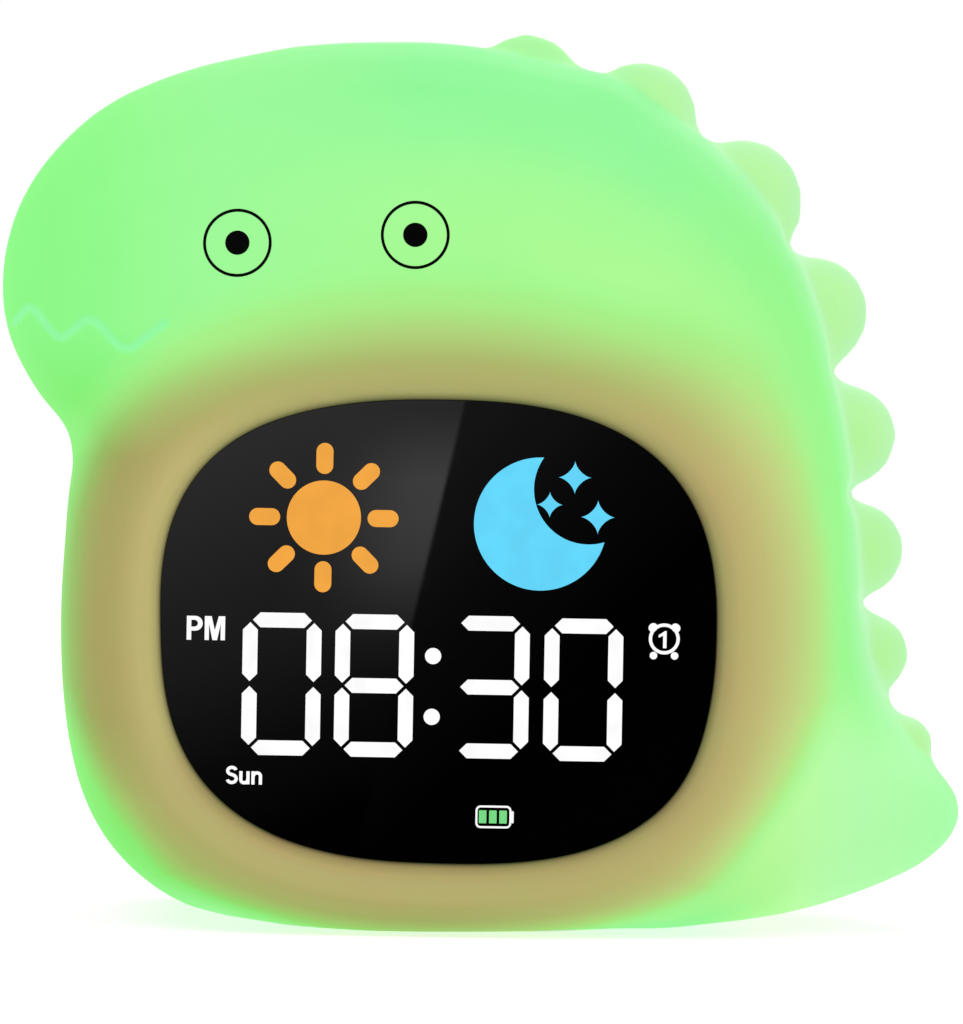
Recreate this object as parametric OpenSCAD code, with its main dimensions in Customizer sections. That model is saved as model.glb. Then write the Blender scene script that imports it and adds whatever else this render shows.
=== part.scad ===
// Children's alarm clock with a night light. A hard clock core sits inside a
// translucent silicone skin shaped as a young dinosaur with scutes and a tail.
// Millimetres. The display faces -Y, Z is up and the table is z = 0.

/* [Body] */
// Width of the body from snout to tail tip
body_w = 140; // [126:1:170]
// Height of the back, without its first scute
body_h = 127.1; // [116:0.1:160]
// Depth from the front face to the rear face
body_d = 88; // [82:1:110]
// Wall of the silicone skin
skin_t = 3; // [2.2:0.1:3.6]
// Width of each scute across the back
scute_t = 15; // [10:1:20]
// Share of the depth that the tail loses at its tip
tail_pinch = 0.5; // [0:0.05:0.6]
// Share of the depth that the snout loses at its tip
snout_pinch = 0.25; // [0:0.05:0.4]
// Roundness of the body's edge, 2 is an ellipse
crown_power = 2.3; // [2:0.1:3]
// Roundness of the edge that runs along the underside
base_power = 5; // [4:0.5:7]

/* [Face] */
// Outer diameter of the printed eye ring
eye_d = 9.6; // [8:0.1:12]
// Line width of the printed eye ring
eye_line = 0.4; // [0.3:0.1:0.8]
// Diameter of the printed pupil
pupil_d = 3.4; // [2.5:0.1:5]
// Distance between the eyes
eye_pitch = 24.9; // [22:0.1:30]
// Height of the eyes above the window's centre, on a head of the drawn height
eye_rise = 54.1; // [52:0.1:57]
// Thickness of the printed ink
ink_t = 0.2; // [0.1:0.05:0.3]
// Width of the mouth groove
mouth_w = 1.2; // [0.8:0.1:1.6]

/* [Window] */
// Width of the display window in the skin
window_w = 77.5; // [74:0.5:80]
// Height of the display window in the skin
window_h = 64.5; // [60:0.5:67]
// Offset of the window from the middle of the body
window_x = -6; // [-7:0.5:-4]
// Squareness of the window, 2 is an ellipse
squareness = 2.7; // [2.5:0.1:3]
// Sideways lean of the window's outline
lean = 0.02; // [0:0.01:0.04]
// Depth of the lens below the skin's face
lens_recess = 1.6; // [1:0.1:2.2]
// Radius of the skin's edge round its openings
lip_r = 1.6; // [1:0.1:2]
// Thickness of the lens
lens_t = 2.2; // [1.8:0.1:2.6]
// Width of the ledge that the lens is taped to
ledge_w = 3; // [2.5:0.1:3.5]
// Thickness of the tape behind the lens
tape_t = 0.2; // [0.1:0.05:0.3]

/* [Core] */
// Margin of the core beside and above the window
core_margin = 8; // [7:0.5:8.5]
// Margin of the core below the window
core_chin = 5.8; // [5.5:0.1:8]
// Height of the core's underside above the table
core_floor = 4.75; // [4.5:0.05:6]
// Wall of the front and rear housings
housing_t = 2.2; // [1.8:0.1:2.6]
// Radius of the core's front and rear edges
core_edge = 7; // [7:0.5:8]

/* [Display] */
// Depth of the light block behind the window
block_t = 7; // [5:0.5:9]
// Thickness of every circuit board
board_t = 1.6; // [1.2:0.1:2]
// Thickness of the diffuser film
film_t = 0.3; // [0.2:0.05:0.4]
// Height of a digit
digit_h = 20; // [16:0.5:22]
// Width of a digit
digit_w = 11.3; // [9:0.1:12]
// Width of a digit's segment
segment_w = 2.2; // [1.6:0.1:2.6]
// Drop of the digits below the window's centre
digit_drop = 7.9; // [7:0.1:9]
// Rise of the sun and the moon above the window's centre
picture_rise = 15.3; // [14:0.1:17]
// Diameter of the light well behind the sun and behind the moon
picture_d = 18.5; // [16:0.5:19]

/* [Rear] */
// Width of the raised control panel
panel_w = 72; // [70:0.5:74]
// Height of the raised control panel
panel_h = 58; // [56:0.5:60]
// Depth of the control panel below the skin's rear face
panel_recess = 1; // [0.5:0.1:1.5]
// Distance from the rear face to the main board
board_depth = 9; // [8.6:0.1:9.6]

/* [Keys] */
// Diameter of a key
key_d = 8; // [7:0.1:8.6]
// Height of a key above the panel
key_rise = 0.8; // [0.5:0.1:1]
// Travel of a key
key_travel = 0.5; // [0.3:0.05:0.6]
// Distance between neighbouring keys of a column
key_pitch = 13.5; // [12.5:0.5:13.5]
// Distance between the two columns of keys
column_pitch = 50; // [49:0.5:50.5]
// Thickness of a key's retaining flange
flange_t = 0.8; // [0.6:0.1:0.9]
// Width of a key's retaining flange
flange_w = 1; // [0.8:0.1:1.2]
// Side of a push switch
switch_w = 6.2; // [5:0.1:7]
// Height of a push switch
switch_h = 3.5; // [3:0.1:3.6]
// Diameter of a push switch's plunger
plunger_d = 3.5; // [3:0.1:4]

/* [Power and charging] */
// Width of the charging socket
usb_w = 8.94; // [8.94:0.01:9]
// Height of the charging socket
usb_h = 3.26; // [3.2:0.01:3.3]
// Width of the charging socket's mouth
mouth_usb_w = 8.34; // [8.34:0.01:8.4]
// Height of the charging socket's mouth
mouth_usb_h = 2.56; // [2.5:0.01:2.6]
// Drop of the socket and the slider below the window's centre
port_drop = 22; // [21.5:0.5:22.5]
// Distance of the socket and the slider from the middle
port_offset = 10; // [9:0.5:11]
// Width of the power slider's cap
slider_w = 5.4; // [4.5:0.1:6]
// Height of the power slider's cap
slider_h = 3; // [2.6:0.1:3.4]
// Travel of the power slider
slider_travel = 2; // [1.5:0.1:2.5]
// Diameter of the reset hole
reset_d = 1.6; // [1:0.1:2]

/* [Speaker] */
// Diameter of the speaker
speaker_d = 36; // [34:0.5:36.5]
// Diameter of the speaker's magnet
magnet_d = 21; // [18:0.5:24]
// Height of the speaker's magnet
magnet_h = 6; // [4:0.5:7]
// Height of the speaker's basket
basket_h = 7.8; // [7:0.1:9]
// Diameter of one grille hole
grille_hole_d = 2; // [1.4:0.1:2.4]
// Distance between rings of grille holes
grille_pitch = 4; // [3.5:0.1:4.5]
// Number of rings of holes round the centre hole
grille_rings = 3; // [2:1:3]

/* [Battery] */
// Diameter of the cell
cell_d = 18.4; // [17:0.1:18.8]
// Length of the cell
cell_l = 50; // [46:0.5:52]
// Wall of the battery cradle
cradle_t = 2; // [1.5:0.1:2.2]

/* [Night light] */
// Length of a side lamp board
lamp_l = 24; // [20:1:28]
// Length of the top lamp board
top_lamp_l = 40; // [34:1:44]
// Width of a lamp board
lamp_w = 14; // [11:0.5:16]
// Side of a lamp chip
chip_w = 5; // [4:0.5:5]
// Height of a lamp chip
chip_h = 1.5; // [1:0.1:1.6]
// Height of a lamp board above the core
lamp_seat = 1; // [0.8:0.1:1.2]

/* [Base] */
// Width of the base plate
base_w = 44; // [42:0.5:45]
// Depth of the base plate
base_l = 52; // [50:0.5:56]
// Corner radius of the base plate
base_r = 8; // [6:0.5:9]
// Width of the base plate's flange round its boss
base_flange = 5; // [4:0.5:5.5]
// Thickness of the base plate's flange
base_t = 1.2; // [1:0.1:1.3]
// Height of the base plate above the table
base_lift = 0.8; // [0.6:0.1:1]
// Height of the skin's flat underside above the table
skin_lift = 0.3; // [0.1:0.1:0.5]
// Diameter of a rubber foot
foot_d = 8; // [6:0.5:8.5]
// Depth of a foot's seat in the base plate
foot_seat = 0.4; // [0.2:0.1:0.6]

/* [Screws] */
// Diameter of the long housing screws and of the base screws
screw_d = 2.6; // [2.4:0.1:3]
// Head diameter of those screws
screw_head_d = 4.8; // [4.4:0.1:5]
// Head height of those screws
screw_head_h = 1.5; // [1.2:0.1:1.6]
// Length of the housing screws
screw_l = 12; // [10:0.5:16]
// Diameter of the small board screws
small_d = 1.7; // [1.4:0.1:2]
// Head diameter of the small board screws
small_head_d = 3.2; // [2.8:0.1:3.6]
// Head height of the small board screws
small_head_h = 0.9; // [0.8:0.1:1.2]

/* [Fits] */
// Clearance between the skin and the core
skin_gap = 0.2; // [0.1:0.05:0.3]
// Clearance round the lens and round the control panel
rim_gap = 0.25; // [0.2:0.05:0.4]
// Clearance round a moving key or slider
key_gap = 0.15; // [0.1:0.05:0.3]
// Running clearance of a plunger
run_gap = 0.08; // [0.05:0.01:0.1]
// Clearance between parts that are set beside each other
part_gap = 0.1; // [0.05:0.05:0.2]

/* [Hidden] */

$fn = 40;
eps = 0.01;

// Outline of the body at its middle plane, seen from the front, for a body
// of drawn_w by drawn_h, anticlockwise from the crown of the head.
drawn_w = 140;
drawn_h = 127.1;
drawn_outline = [[-12, 127.1], [-35, 125.1], [-53, 118.8], [-64.5, 108.4], [-69.6, 96.8], [-69.4, 84.8],
    [-64.4, 75.1], [-60, 68.8], [-60, 57.8], [-60.6, 41.9], [-58.9, 25.7], [-52.7, 11.6], [-40.6, 2.7],
    [-22.3, 0.2], [0, 0.1], [23.3, 0.7], [44.3, 2.5], [60.5, 7.6], [68.9, 13.4], [69.6, 19.2], [64, 26.3],
    [58, 36.3], [55.4, 50.8], [52.8, 70.8], [45.6, 96.8], [32, 113.6], [12, 123.8]];
// Scutes from the head to the tail: tip x, tip z, base x, base z, radius.
drawn_scutes = [[5.7, 121.1, 5.7, 118.8, 7.4], [22.6, 117, 22.8, 114.8, 7.7], [37.1, 105.1, 37, 103, 8.8],
    [47.7, 88.9, 44.7, 85.2, 8.1], [52.9, 71.1, 48.5, 72, 7.3], [54.7, 54.5, 51.5, 55.5, 6.9],
    [56.9, 39.4, 52.9, 40.8, 5.7], [62.4, 26.5, 59, 27.2, 3.9]];
// Zigzag of the mouth, from the snout's edge towards the cheek.
drawn_mouth = [[-67.5, 85.1], [-65, 87.1], [-60.1, 82.7], [-55.7, 85.5], [-50.5, 81.2], [-45.1, 85.1]];

// The flanks stand off the core, with room for the lamps and on the right for
// the tail's root, and from there snout and tail reach on to the full width.
drawn_flanks = [-60.6, 57];
left_room = 7.85;
right_room = 16.25;
core_left = window_x - window_w / 2 - core_margin;
core_right = window_x + window_w / 2 + core_margin;
reach_x = [[-drawn_w / 2, -body_w / 2], [drawn_flanks[0], core_left - left_room],
    [drawn_flanks[1], core_right + right_room], [drawn_w / 2, body_w / 2]];
function placed(p) = [lookup(p[0], reach_x), p[1] * body_h / drawn_h];

// Heights and depths that the pieces share.
window_z = core_floor + core_chin + window_h / 2;
front_y = -body_d / 2;
rear_y = body_d / 2;
core_y = body_d / 2 - skin_t - skin_gap;
lens_y = front_y + lens_recess;
tape_y = lens_y + lens_t;
seat_y = tape_y + tape_t;
ledge_y = -core_y + housing_t;
film_y = seat_y + part_gap;
block_y = ledge_y + part_gap;
display_board_y = block_y + block_t;
panel_y = rear_y - panel_recess;
panel_in_y = panel_y - housing_t;
board_y = rear_y - board_depth;
board_front_y = board_y - board_t;
switch_y = board_y + switch_h;
flange_y = panel_in_y - part_gap - flange_t;

// The curve through the drawn outline, three steps to each point.
curve_steps = 3;
body_points = [for (p = drawn_outline) placed(p)];
function on_curve(i, t) =
    let (n = len(body_points), a = body_points[(i + n - 1) % n], b = body_points[i],
        c = body_points[(i + 1) % n], d = body_points[(i + 2) % n])
    (2 * b + (c - a) * t + (2 * a - 5 * b + 4 * c - d) * t * t + (3 * b - a - 3 * c + d) * t * t * t) / 2;
body_curve = [for (i = [0:len(body_points) - 1], s = [0:curve_steps - 1]) on_curve(i, s / curve_steps)];

// The form of the body is a loft. Seen from the window's centre each station
// of the outline has a section that leaves the flat face and rounds over to
// the middle plane, and the tail and the snout are drawn in on the way.
window_centre = [window_x, window_z];
section_steps = 8;
flat_margin = 3;
tail_angle = -18;
snout_angle = 143;
pinch_growth = 3;

function squircle_r(angle, margin) =
    1 / pow(pow(abs(cos(angle)) / (window_w / 2 + margin), squareness)
        + pow(abs(sin(angle)) / (window_h / 2 + margin), squareness), 1 / squareness);
function power_at(angle) = crown_power + (base_power - crown_power) * pow(max(0, -sin(angle)), 2);
function pinch_at(angle) = tail_pinch * pow(max(0, cos(angle - tail_angle)), 6)
    + snout_pinch * pow(max(0, cos(angle - snout_angle)), 4);

// One station as an angle and a radius about the window's centre.
function station(i, inset) =
    let (n = len(body_curve), t = body_curve[(i + 1) % n] - body_curve[(i + n - 1) % n],
        q = body_curve[i] - inset * [t[1], -t[0]] / norm(t) - window_centre)
    [atan2(q[1], q[0]), norm(q)];
// The section at one angle as radius and half depth, from the flat to the edge.
function section_point(angle, reach, inset, j) =
    let (p = power_at(angle), turn = 90 * j / section_steps, u = pow(sin(turn), 2 / p),
        v = pow(cos(turn), 2 / p), flat = squircle_r(angle, flat_margin),
        half = rear_y * (1 - pinch_at(angle) * pow(u, pinch_growth)) - inset)
    [flat + (reach - flat) * u, half * v];
function body_ring(inset, j, side) =
    [for (i = [0:len(body_curve) - 1])
        let (s = station(i, inset), q = section_point(s[0], s[1], inset, j))
        [window_x + q[0] * cos(s[0]), side * q[1], window_z + q[0] * sin(s[0])]];

// Depth of the skin's front at a point of the face.
first_angle = station(0, 0)[0];
function unwrapped(angle) = angle < first_angle - eps ? angle + 360 : angle;
reach_table = [for (i = [0:len(body_curve) - 1]) let (s = station(i, 0)) [unwrapped(s[0]), s[1]]];
function face_y(x, z) =
    let (angle = unwrapped(atan2(z - window_z, x - window_x)), reach = lookup(angle, reach_table),
        table = [for (j = [0:section_steps]) section_point(angle, reach, 0, j)])
    -lookup(norm([x - window_x, z - window_z]), table);

// A closed solid through rings of points. Each ring runs anticlockwise as
// seen from the front, and the rings run from the front to the rear.
module loft(rings) {
    n = len(rings[0]);
    last = (len(rings) - 1) * n;
    sides = [for (j = [0:len(rings) - 2], i = [0:n - 1])
        let (a = j * n + i, b = a + n, c = (j + 1) * n + (i + 1) % n, d = j * n + (i + 1) % n)
        each [[a, c, b], [a, d, c]]];
    caps = [[for (i = [0:n - 1]) n - 1 - i], [for (i = [0:n - 1]) last + i]];
    polyhedron([for (ring = rings) each ring], concat(sides, caps));
}

module body_form(inset) {
    front = [for (j = [0:section_steps]) body_ring(inset, j, -1)];
    rear = [for (j = [section_steps - 1:-1:0]) body_ring(inset, j, 1)];
    loft(concat(front, rear));
}

// The rounded window outline, its half sizes grown by a margin.
outline_steps = 64;
function squircle(w, h) =
    [for (i = [0:outline_steps - 1])
        let (a = 360 * i / outline_steps, e = 2 / squareness,
            x = sign(cos(a)) * pow(abs(cos(a)), e) * w / 2, y = sign(sin(a)) * pow(abs(sin(a)), e) * h / 2)
        [x - lean * y, y]];
function window_outline(margin) = squircle(window_w + 2 * margin, window_h + 2 * margin);
// The core's outline at a margin from the window, narrower by a step below it.
chin_step = core_margin - core_chin;
function core_outline(margin) =
    [for (p = squircle(window_w + 2 * margin, window_h + 2 * margin - chin_step))
        [p[0], p[1] + chin_step / 2]];
function panel_outline(margin) = squircle(panel_w + 2 * margin, panel_h + 2 * margin);
function ring_at(outline, y) = [for (p = outline) [window_x + p[0], y, window_z + p[1]]];

// A flat plate parallel to the front, from y0 to y1, about the window's centre.
module plate(outline, y0, y1) {
    translate([window_x, y1, window_z]) rotate([90, 0, 0]) linear_extrude(y1 - y0) polygon(outline);
}
// A round bar along the depth, placed from the window's centre.
module bar_y(x, z, d, y0, y1) {
    translate([window_x + x, y1, window_z + z]) rotate([90, 0, 0]) cylinder(d = d, h = y1 - y0);
}
module block(x0, x1, y0, y1, z0, z1) {
    translate([x0, y0, z0]) cube([x1 - x0, y1 - y0, z1 - z0]);
}
// A bar of w by h along the depth, placed from the window's centre.
module box_y(x, z, w, h, y0, y1) {
    translate([window_x + x - w / 2, y0, window_z + z - h / 2]) cube([w, y1 - y0, h]);
}
// A round bar that runs from the origin along +X.
module rod_x(d, length) {
    rotate([0, 90, 0]) cylinder(d = d, h = length);
}
module rounded_block(w, l, r, z0, z1) {
    translate([window_x, 0, z0]) linear_extrude(z1 - z0) union() {
        square([w - 2 * r, l], center = true);
        square([w, l - 2 * r], center = true);
        for (x = [-1, 1], y = [-1, 1]) translate([x * (w / 2 - r), y * (l / 2 - r)]) circle(r);
    }
}
// An opening in the skin whose edge rolls over with the radius lip_r.
lip_steps = 4;
module lipped_opening(w, h, side) {
    roll = [for (s = [0:lip_steps])
        let (a = 90 * s / lip_steps)
        ring_at(squircle(w + 2 * lip_r * (1 - sin(a)), h + 2 * lip_r * (1 - sin(a))),
            side * (rear_y - lip_r * (1 - cos(a))))];
    outside = ring_at(squircle(w + 2 * lip_r, h + 2 * lip_r), side * (rear_y + 1));
    inside = ring_at(squircle(w, h), side * (rear_y - skin_t - 1));
    rings = concat([outside], roll, [inside]);
    loft(side < 0 ? rings : [for (i = [len(rings) - 1:-1:0]) rings[i]]);
}

// ---- Skin ---------------------------------------------------------------
scute_facets = 20;
module scute(s) {
    tip = placed([s[0], s[1]]);
    root = placed([s[2], s[3]]);
    hull() for (p = [tip, root])
        translate([p[0], 0, p[1]]) scale([1, scute_t / 2 / s[4], 1]) sphere(s[4], $fn = scute_facets);
}
groove_facets = 10;
groove_steps = 2;
groove_out = 3;
module mouth_groove() {
    path = [for (m = drawn_mouth) placed(m)];
    points = [for (i = [0:groove_steps * (len(path) - 1)])
        let (k = min(floor(i / groove_steps), len(path) - 2), t = i / groove_steps - k,
            p = path[k] * (1 - t) + path[k + 1] * t)
        [p[0], face_y(p[0], p[1]), p[1]]];
    for (i = [0:len(points) - 2]) hull() for (p = [points[i], points[i + 1]], out = [0, groove_out])
        translate([p[0], p[1] - out, p[2]]) sphere(d = mouth_w, $fn = groove_facets);
}
base_recess_z = base_lift + base_t + part_gap;
module silicone_skin() {
    color([0.62, 0.98, 0.6, 0.9]) difference() {
        union() {
            body_form(0);
            for (s = drawn_scutes) scute(s);
        }
        body_form(skin_t);
        lipped_opening(window_w, window_h, -1);
        lipped_opening(panel_w + 2 * rim_gap, panel_h + 2 * rim_gap, 1);
        mouth_groove();
        rounded_block(base_w + 2 * rim_gap, base_l + 2 * rim_gap, base_r + rim_gap, -1, base_recess_z);
        rounded_block(boss_w + 2 * rim_gap, boss_l + 2 * rim_gap, boss_r + rim_gap, 0, core_floor);
        block(-body_w, body_w, -body_d, body_d, -body_h, skin_lift);
    }
}

// Eyes printed on the skin: a ring and a pupil that follow the head's curve.
eye_facets = 32;
eye_middle = -16.4;
eye_tilt = 1.5;
eyes_z = window_z + eye_rise + body_h - drawn_h;
eyes = [[window_x + eye_middle - eye_pitch / 2, eyes_z - eye_tilt / 2],
    [window_x + eye_middle + eye_pitch / 2, eyes_z + eye_tilt / 2]];
function eye_loop(eye, r, lift) =
    [for (i = [0:eye_facets - 1])
        let (a = 360 * i / eye_facets, x = eye[0] + r * cos(a), z = eye[1] + r * sin(a))
        [x, face_y(x, z) - lift, z]];
module printed_ring(eye) {
    n = eye_facets;
    top = part_gap + ink_t;
    loops = [eye_loop(eye, eye_d / 2, part_gap), eye_loop(eye, eye_d / 2, top),
        eye_loop(eye, eye_d / 2 - eye_line, top), eye_loop(eye, eye_d / 2 - eye_line, part_gap)];
    faces = [for (k = [0:3], i = [0:n - 1])
        let (next = (k + 1) % 4, a = k * n + i, b = next * n + i, c = next * n + (i + 1) % n,
            d = k * n + (i + 1) % n)
        each [[a, b, c], [a, c, d]]];
    polyhedron([for (loop = loops) each loop], faces);
}
// The pupil's two faces are fans of triangles round their middle points.
module printed_pupil(eye) {
    n = eye_facets;
    top = part_gap + ink_t;
    loops = [eye_loop(eye, pupil_d / 2, part_gap), eye_loop(eye, pupil_d / 2, top)];
    middles = [for (lift = [part_gap, top]) [eye[0], face_y(eye[0], eye[1]) - lift, eye[1]]];
    faces = [for (i = [0:n - 1])
        let (next = (i + 1) % n)
        each [[i, n + i, n + next], [i, n + next, next], [2 * n, i, next], [2 * n + 1, n + next, n + i]]];
    polyhedron(concat(loops[0], loops[1], middles), faces);
}
module eye_prints() {
    color([0.02, 0.02, 0.02]) for (eye = eyes) {
        printed_ring(eye);
        printed_pupil(eye);
    }
}

// ---- Display --------------------------------------------------------------
module display_lens() {
    color([0.01, 0.01, 0.015]) plate(window_outline(-rim_gap), lens_y, tape_y);
}
module lens_tape() {
    color([0.1, 0.1, 0.1]) difference() {
        plate(window_outline(-2 * rim_gap), tape_y, seat_y);
        plate(window_outline(-ledge_w + rim_gap), tape_y - 1, seat_y + 1);
    }
}
module display_diffuser() {
    color([0.9, 0.9, 0.88]) plate(window_outline(-ledge_w - rim_gap), film_y, film_y + film_t);
}

// Light wells for four digits, the colon, the sun and the moon.
digit_x = [-21.9, -8.95, 7.25, 20.2];
colon_x = -0.8;
colon_z = [-3.5, -12];
colon_d = 3;
sun_x = -16.4;
moon_x = 15.5;
segment_gap = 0.4;
module segment_2d(length) {
    half = length / 2 - segment_gap;
    s = segment_w / 2;
    polygon([[-half, 0], [-half + s, -s], [half - s, -s], [half, 0], [half - s, s], [-half + s, s]]);
}
module digit_2d() {
    side = digit_w / 2 - segment_w / 2;
    rise = digit_h / 2 - segment_w / 2;
    for (z = [-rise, 0, rise]) translate([0, z]) segment_2d(2 * side);
    for (x = [-side, side], z = [-rise / 2, rise / 2]) translate([x, z]) rotate(90) segment_2d(rise);
}
module display_wells(y0, y1) {
    translate([window_x, y1, window_z - digit_drop]) rotate([90, 0, 0]) linear_extrude(y1 - y0)
        for (x = digit_x) translate([x, 0]) digit_2d();
    for (z = colon_z) bar_y(colon_x, z, colon_d, y0, y1);
    for (x = [sun_x, moon_x]) bar_y(x, picture_rise, picture_d, y0, y1);
}
block_margin = -0.6;
module display_block() {
    color([0.95, 0.95, 0.95]) difference() {
        union() {
            plate(window_outline(block_margin), block_y, display_board_y);
            plate(window_outline(-ledge_w - rim_gap), film_y + film_t, block_y + eps);
        }
        display_wells(film_y, display_board_y + 1);
    }
}

// The board behind the light block is screwed to four posts by its ears.
ear_x = 40.6;
ear_z = 9;
ear_d = 5;
ear_l = 8;
post_d = 4.6;
ears = [for (x = [-1, 1], z = [-1, 1]) [x * ear_x, z * ear_z]];
display_board_back = display_board_y + board_t;
module display_board() {
    color([0.05, 0.3, 0.15]) difference() {
        union() {
            plate(window_outline(block_margin), display_board_y, display_board_back);
            for (e = ears) {
                bar_y(e[0], e[1], ear_d, display_board_y, display_board_back);
                box_y(e[0] - sign(e[0]) * ear_l / 2, e[1], ear_l, ear_d, display_board_y, display_board_back);
            }
        }
        for (e = ears) bar_y(e[0], e[1], small_d + 2 * part_gap, display_board_y - 1, display_board_back + 1);
    }
}
led_w = 1.6;
led_h = 0.6;
module led(x, z) {
    box_y(x, z, led_w, led_w, display_board_y - led_h, display_board_y);
}
module display_leds() {
    side = digit_w / 2 - segment_w / 2;
    rise = digit_h / 2 - segment_w / 2;
    color([0.95, 0.9, 0.6]) {
        for (x = digit_x) {
            for (z = [-rise, 0, rise]) led(x, z - digit_drop);
            for (s = [-side, side], z = [-rise / 2, rise / 2]) led(x + s, z - digit_drop);
        }
        for (z = colon_z) led(colon_x, z);
        for (x = [sun_x, moon_x], s = [-1, 1]) led(x + s * picture_d / 4, picture_rise);
    }
}

// ---- Housings ---------------------------------------------------------------
// The core's outer form, rounded where its side meets its front or rear face.
edge_steps = 5;
module core_half(side) {
    round = [for (s = [0:edge_steps])
        let (a = 90 * s / edge_steps)
        ring_at(core_outline(core_margin - core_edge * (1 - sin(a))),
            side * (core_y - core_edge * (1 - cos(a))))];
    rings = concat(round, [ring_at(core_outline(core_margin), 0)]);
    loft(side < 0 ? rings : [for (i = [len(rings) - 1:-1:0]) rings[i]]);
}
cavity_margin = core_margin - housing_t;
shoulder_y = core_y - core_edge;
// Long screws join the two halves at four bosses.
boss_x = 33.5;
boss_z = 26.5;
boss_d = 7;
bosses = [for (x = [-1, 1], z = [-1, 1]) [x * boss_x, z * boss_z]];
screw_seat_y = 6;
pilot_gap = 0.03;
// The core stands on two pads that the base plate is screwed to.
pad_reach = 0.85;
base_seat_z = core_floor - pad_reach;
pad_w = 36;
pad_l = 42;
pad_top = 10;
boss_w = base_w - 2 * base_flange;
boss_l = base_l - 2 * base_flange;
boss_r = base_r - base_flange;
base_screw_x = 10;
base_screw_y = 14;
base_screws_at = [for (x = [-1, 1], y = [-1, 1]) [x * base_screw_x, y * base_screw_y]];
pad_roof = 1.2;
base_screw_top = pad_top - pad_roof;
module base_pad(y0, y1) {
    block(window_x - pad_w / 2, window_x + pad_w / 2, y0, y1, base_seat_z, pad_top);
}
module base_pilots() {
    for (p = base_screws_at) translate([window_x + p[0], p[1], base_seat_z - 1])
        cylinder(d = screw_d + 2 * pilot_gap, h = base_screw_top + part_gap - base_seat_z + 1);
}

module front_housing() {
    color([0.93, 0.92, 0.88]) difference() {
        union() {
            core_half(-1);
            base_pad(-pad_l / 2, 0);
        }
        difference() {
            union() {
                plate(core_outline(cavity_margin), -shoulder_y, 1);
                plate(window_outline(block_margin + rim_gap), ledge_y, -shoulder_y + eps);
            }
            for (e = ears) bar_y(e[0], e[1], post_d, -shoulder_y - eps, display_board_y);
            for (b = bosses) bar_y(b[0], b[1], boss_d, -shoulder_y - eps, 2);
            base_pad(-pad_l / 2, 2);
        }
        plate(window_outline(0), -core_y - 1, seat_y);
        plate(window_outline(-ledge_w), -core_y - 1, ledge_y + 1);
        for (e = ears) bar_y(e[0], e[1], small_d + 2 * pilot_gap,
            display_board_y - small_grip - part_gap, display_board_y + 1);
        for (b = bosses) bar_y(b[0], b[1], screw_d + 2 * pilot_gap, -screw_l, 1);
        base_pilots();
    }
}

// Controls on the rear panel, placed from the window's centre.
keys = [[-1, 1], [-1, 0], [-1, -1], [1, 1], [1, 0], [1, -1]];
function key_at(i) = [keys[i][0] * column_pitch / 2, keys[i][1] * key_pitch];
post_x = 34;
board_posts = [for (x = [-1, 1], z = [-1, 1]) [x * post_x, z * key_pitch / 2]];
wall_ring_d = speaker_d + 2;
gasket_t = 0.8;
speaker_room = 3;
speaker_y = panel_in_y - speaker_room;
slot_w = slider_w + slider_travel + 2 * key_gap;
slot_h = slider_h + 2 * key_gap;
reset_below = 2;
rib_x = 20;
rib_t = 3;
cell_y = cell_d / 2 + cradle_t + 1;
cell_z = 25;
cradle_bottom = cell_z - cell_d / 2 - cradle_t;
lead_d = 1.6;
lamp_y = cell_y;

module grille_holes(y0, y1) {
    bar_y(0, 0, grille_hole_d, y0, y1);
    for (ring = [1:grille_rings], i = [0:6 * ring - 1]) {
        r = ring * grille_pitch;
        bar_y(r * cos(60 * i / ring), r * sin(60 * i / ring), grille_hole_d, y0, y1);
    }
}
// A bar with round ends, as the charging socket has.
module pill_y(x, z, w, h, y0, y1) {
    for (s = [-1, 1]) bar_y(x + s * (w - h) / 2, z, h, y0, y1);
    box_y(x, z, w - h, h, y0, y1);
}
// Seats on the outside of the core for the three lamp boards.
top_lamp_z = window_z + window_h / 2 + core_margin + lamp_seat;
left_lamp_x = core_left - lamp_seat;
right_lamp_x = core_right + lamp_seat;
seat_inset = 3.5;
top_seat_x = top_lamp_l / 2 - seat_inset;
side_seat_z = lamp_l / 2 - seat_inset;
seat_root = housing_t + lamp_seat;
module lamp_seats(d, root, rise) {
    for (x = [-1, 1]) translate([window_x + x * top_seat_x, lamp_y, top_lamp_z - root - 1])
        cylinder(d = d, h = root + rise + 1);
    for (z = [-1, 1], x = [left_lamp_x - rise, right_lamp_x - root])
        translate([x, lamp_y, window_z + z * side_seat_z]) rod_x(d, root + rise);
}
lead_hole_d = lead_d + 1;
lead_hole_past = 3;
lead_drop = 20;
lead_in = 12.5;
lead_x = 12;
module lead_holes() {
    deep = seat_root + lead_hole_past;
    translate([window_x + lead_x, lamp_y, top_lamp_z - deep]) cylinder(d = lead_hole_d, h = deep + 1);
    for (x = [left_lamp_x - 1, right_lamp_x - seat_root - 2])
        translate([x, lamp_y, window_z]) rod_x(lead_hole_d, deep);
}

// What is cut through the panel: grille, keys, charging socket, slider, reset.
module panel_holes(y0, y1) {
    grille_holes(y0, y1);
    for (i = [0:5]) bar_y(key_at(i)[0], key_at(i)[1], key_d + 2 * key_gap, y0, y1);
    pill_y(-port_offset, -port_drop, usb_w + 2 * rim_gap, usb_h + 2 * rim_gap, y0, y1);
    box_y(port_offset, -port_drop, slot_w, slot_h, y0, y1);
    bar_y(0, -port_drop - reset_below, reset_d, y0, y1);
}

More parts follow.
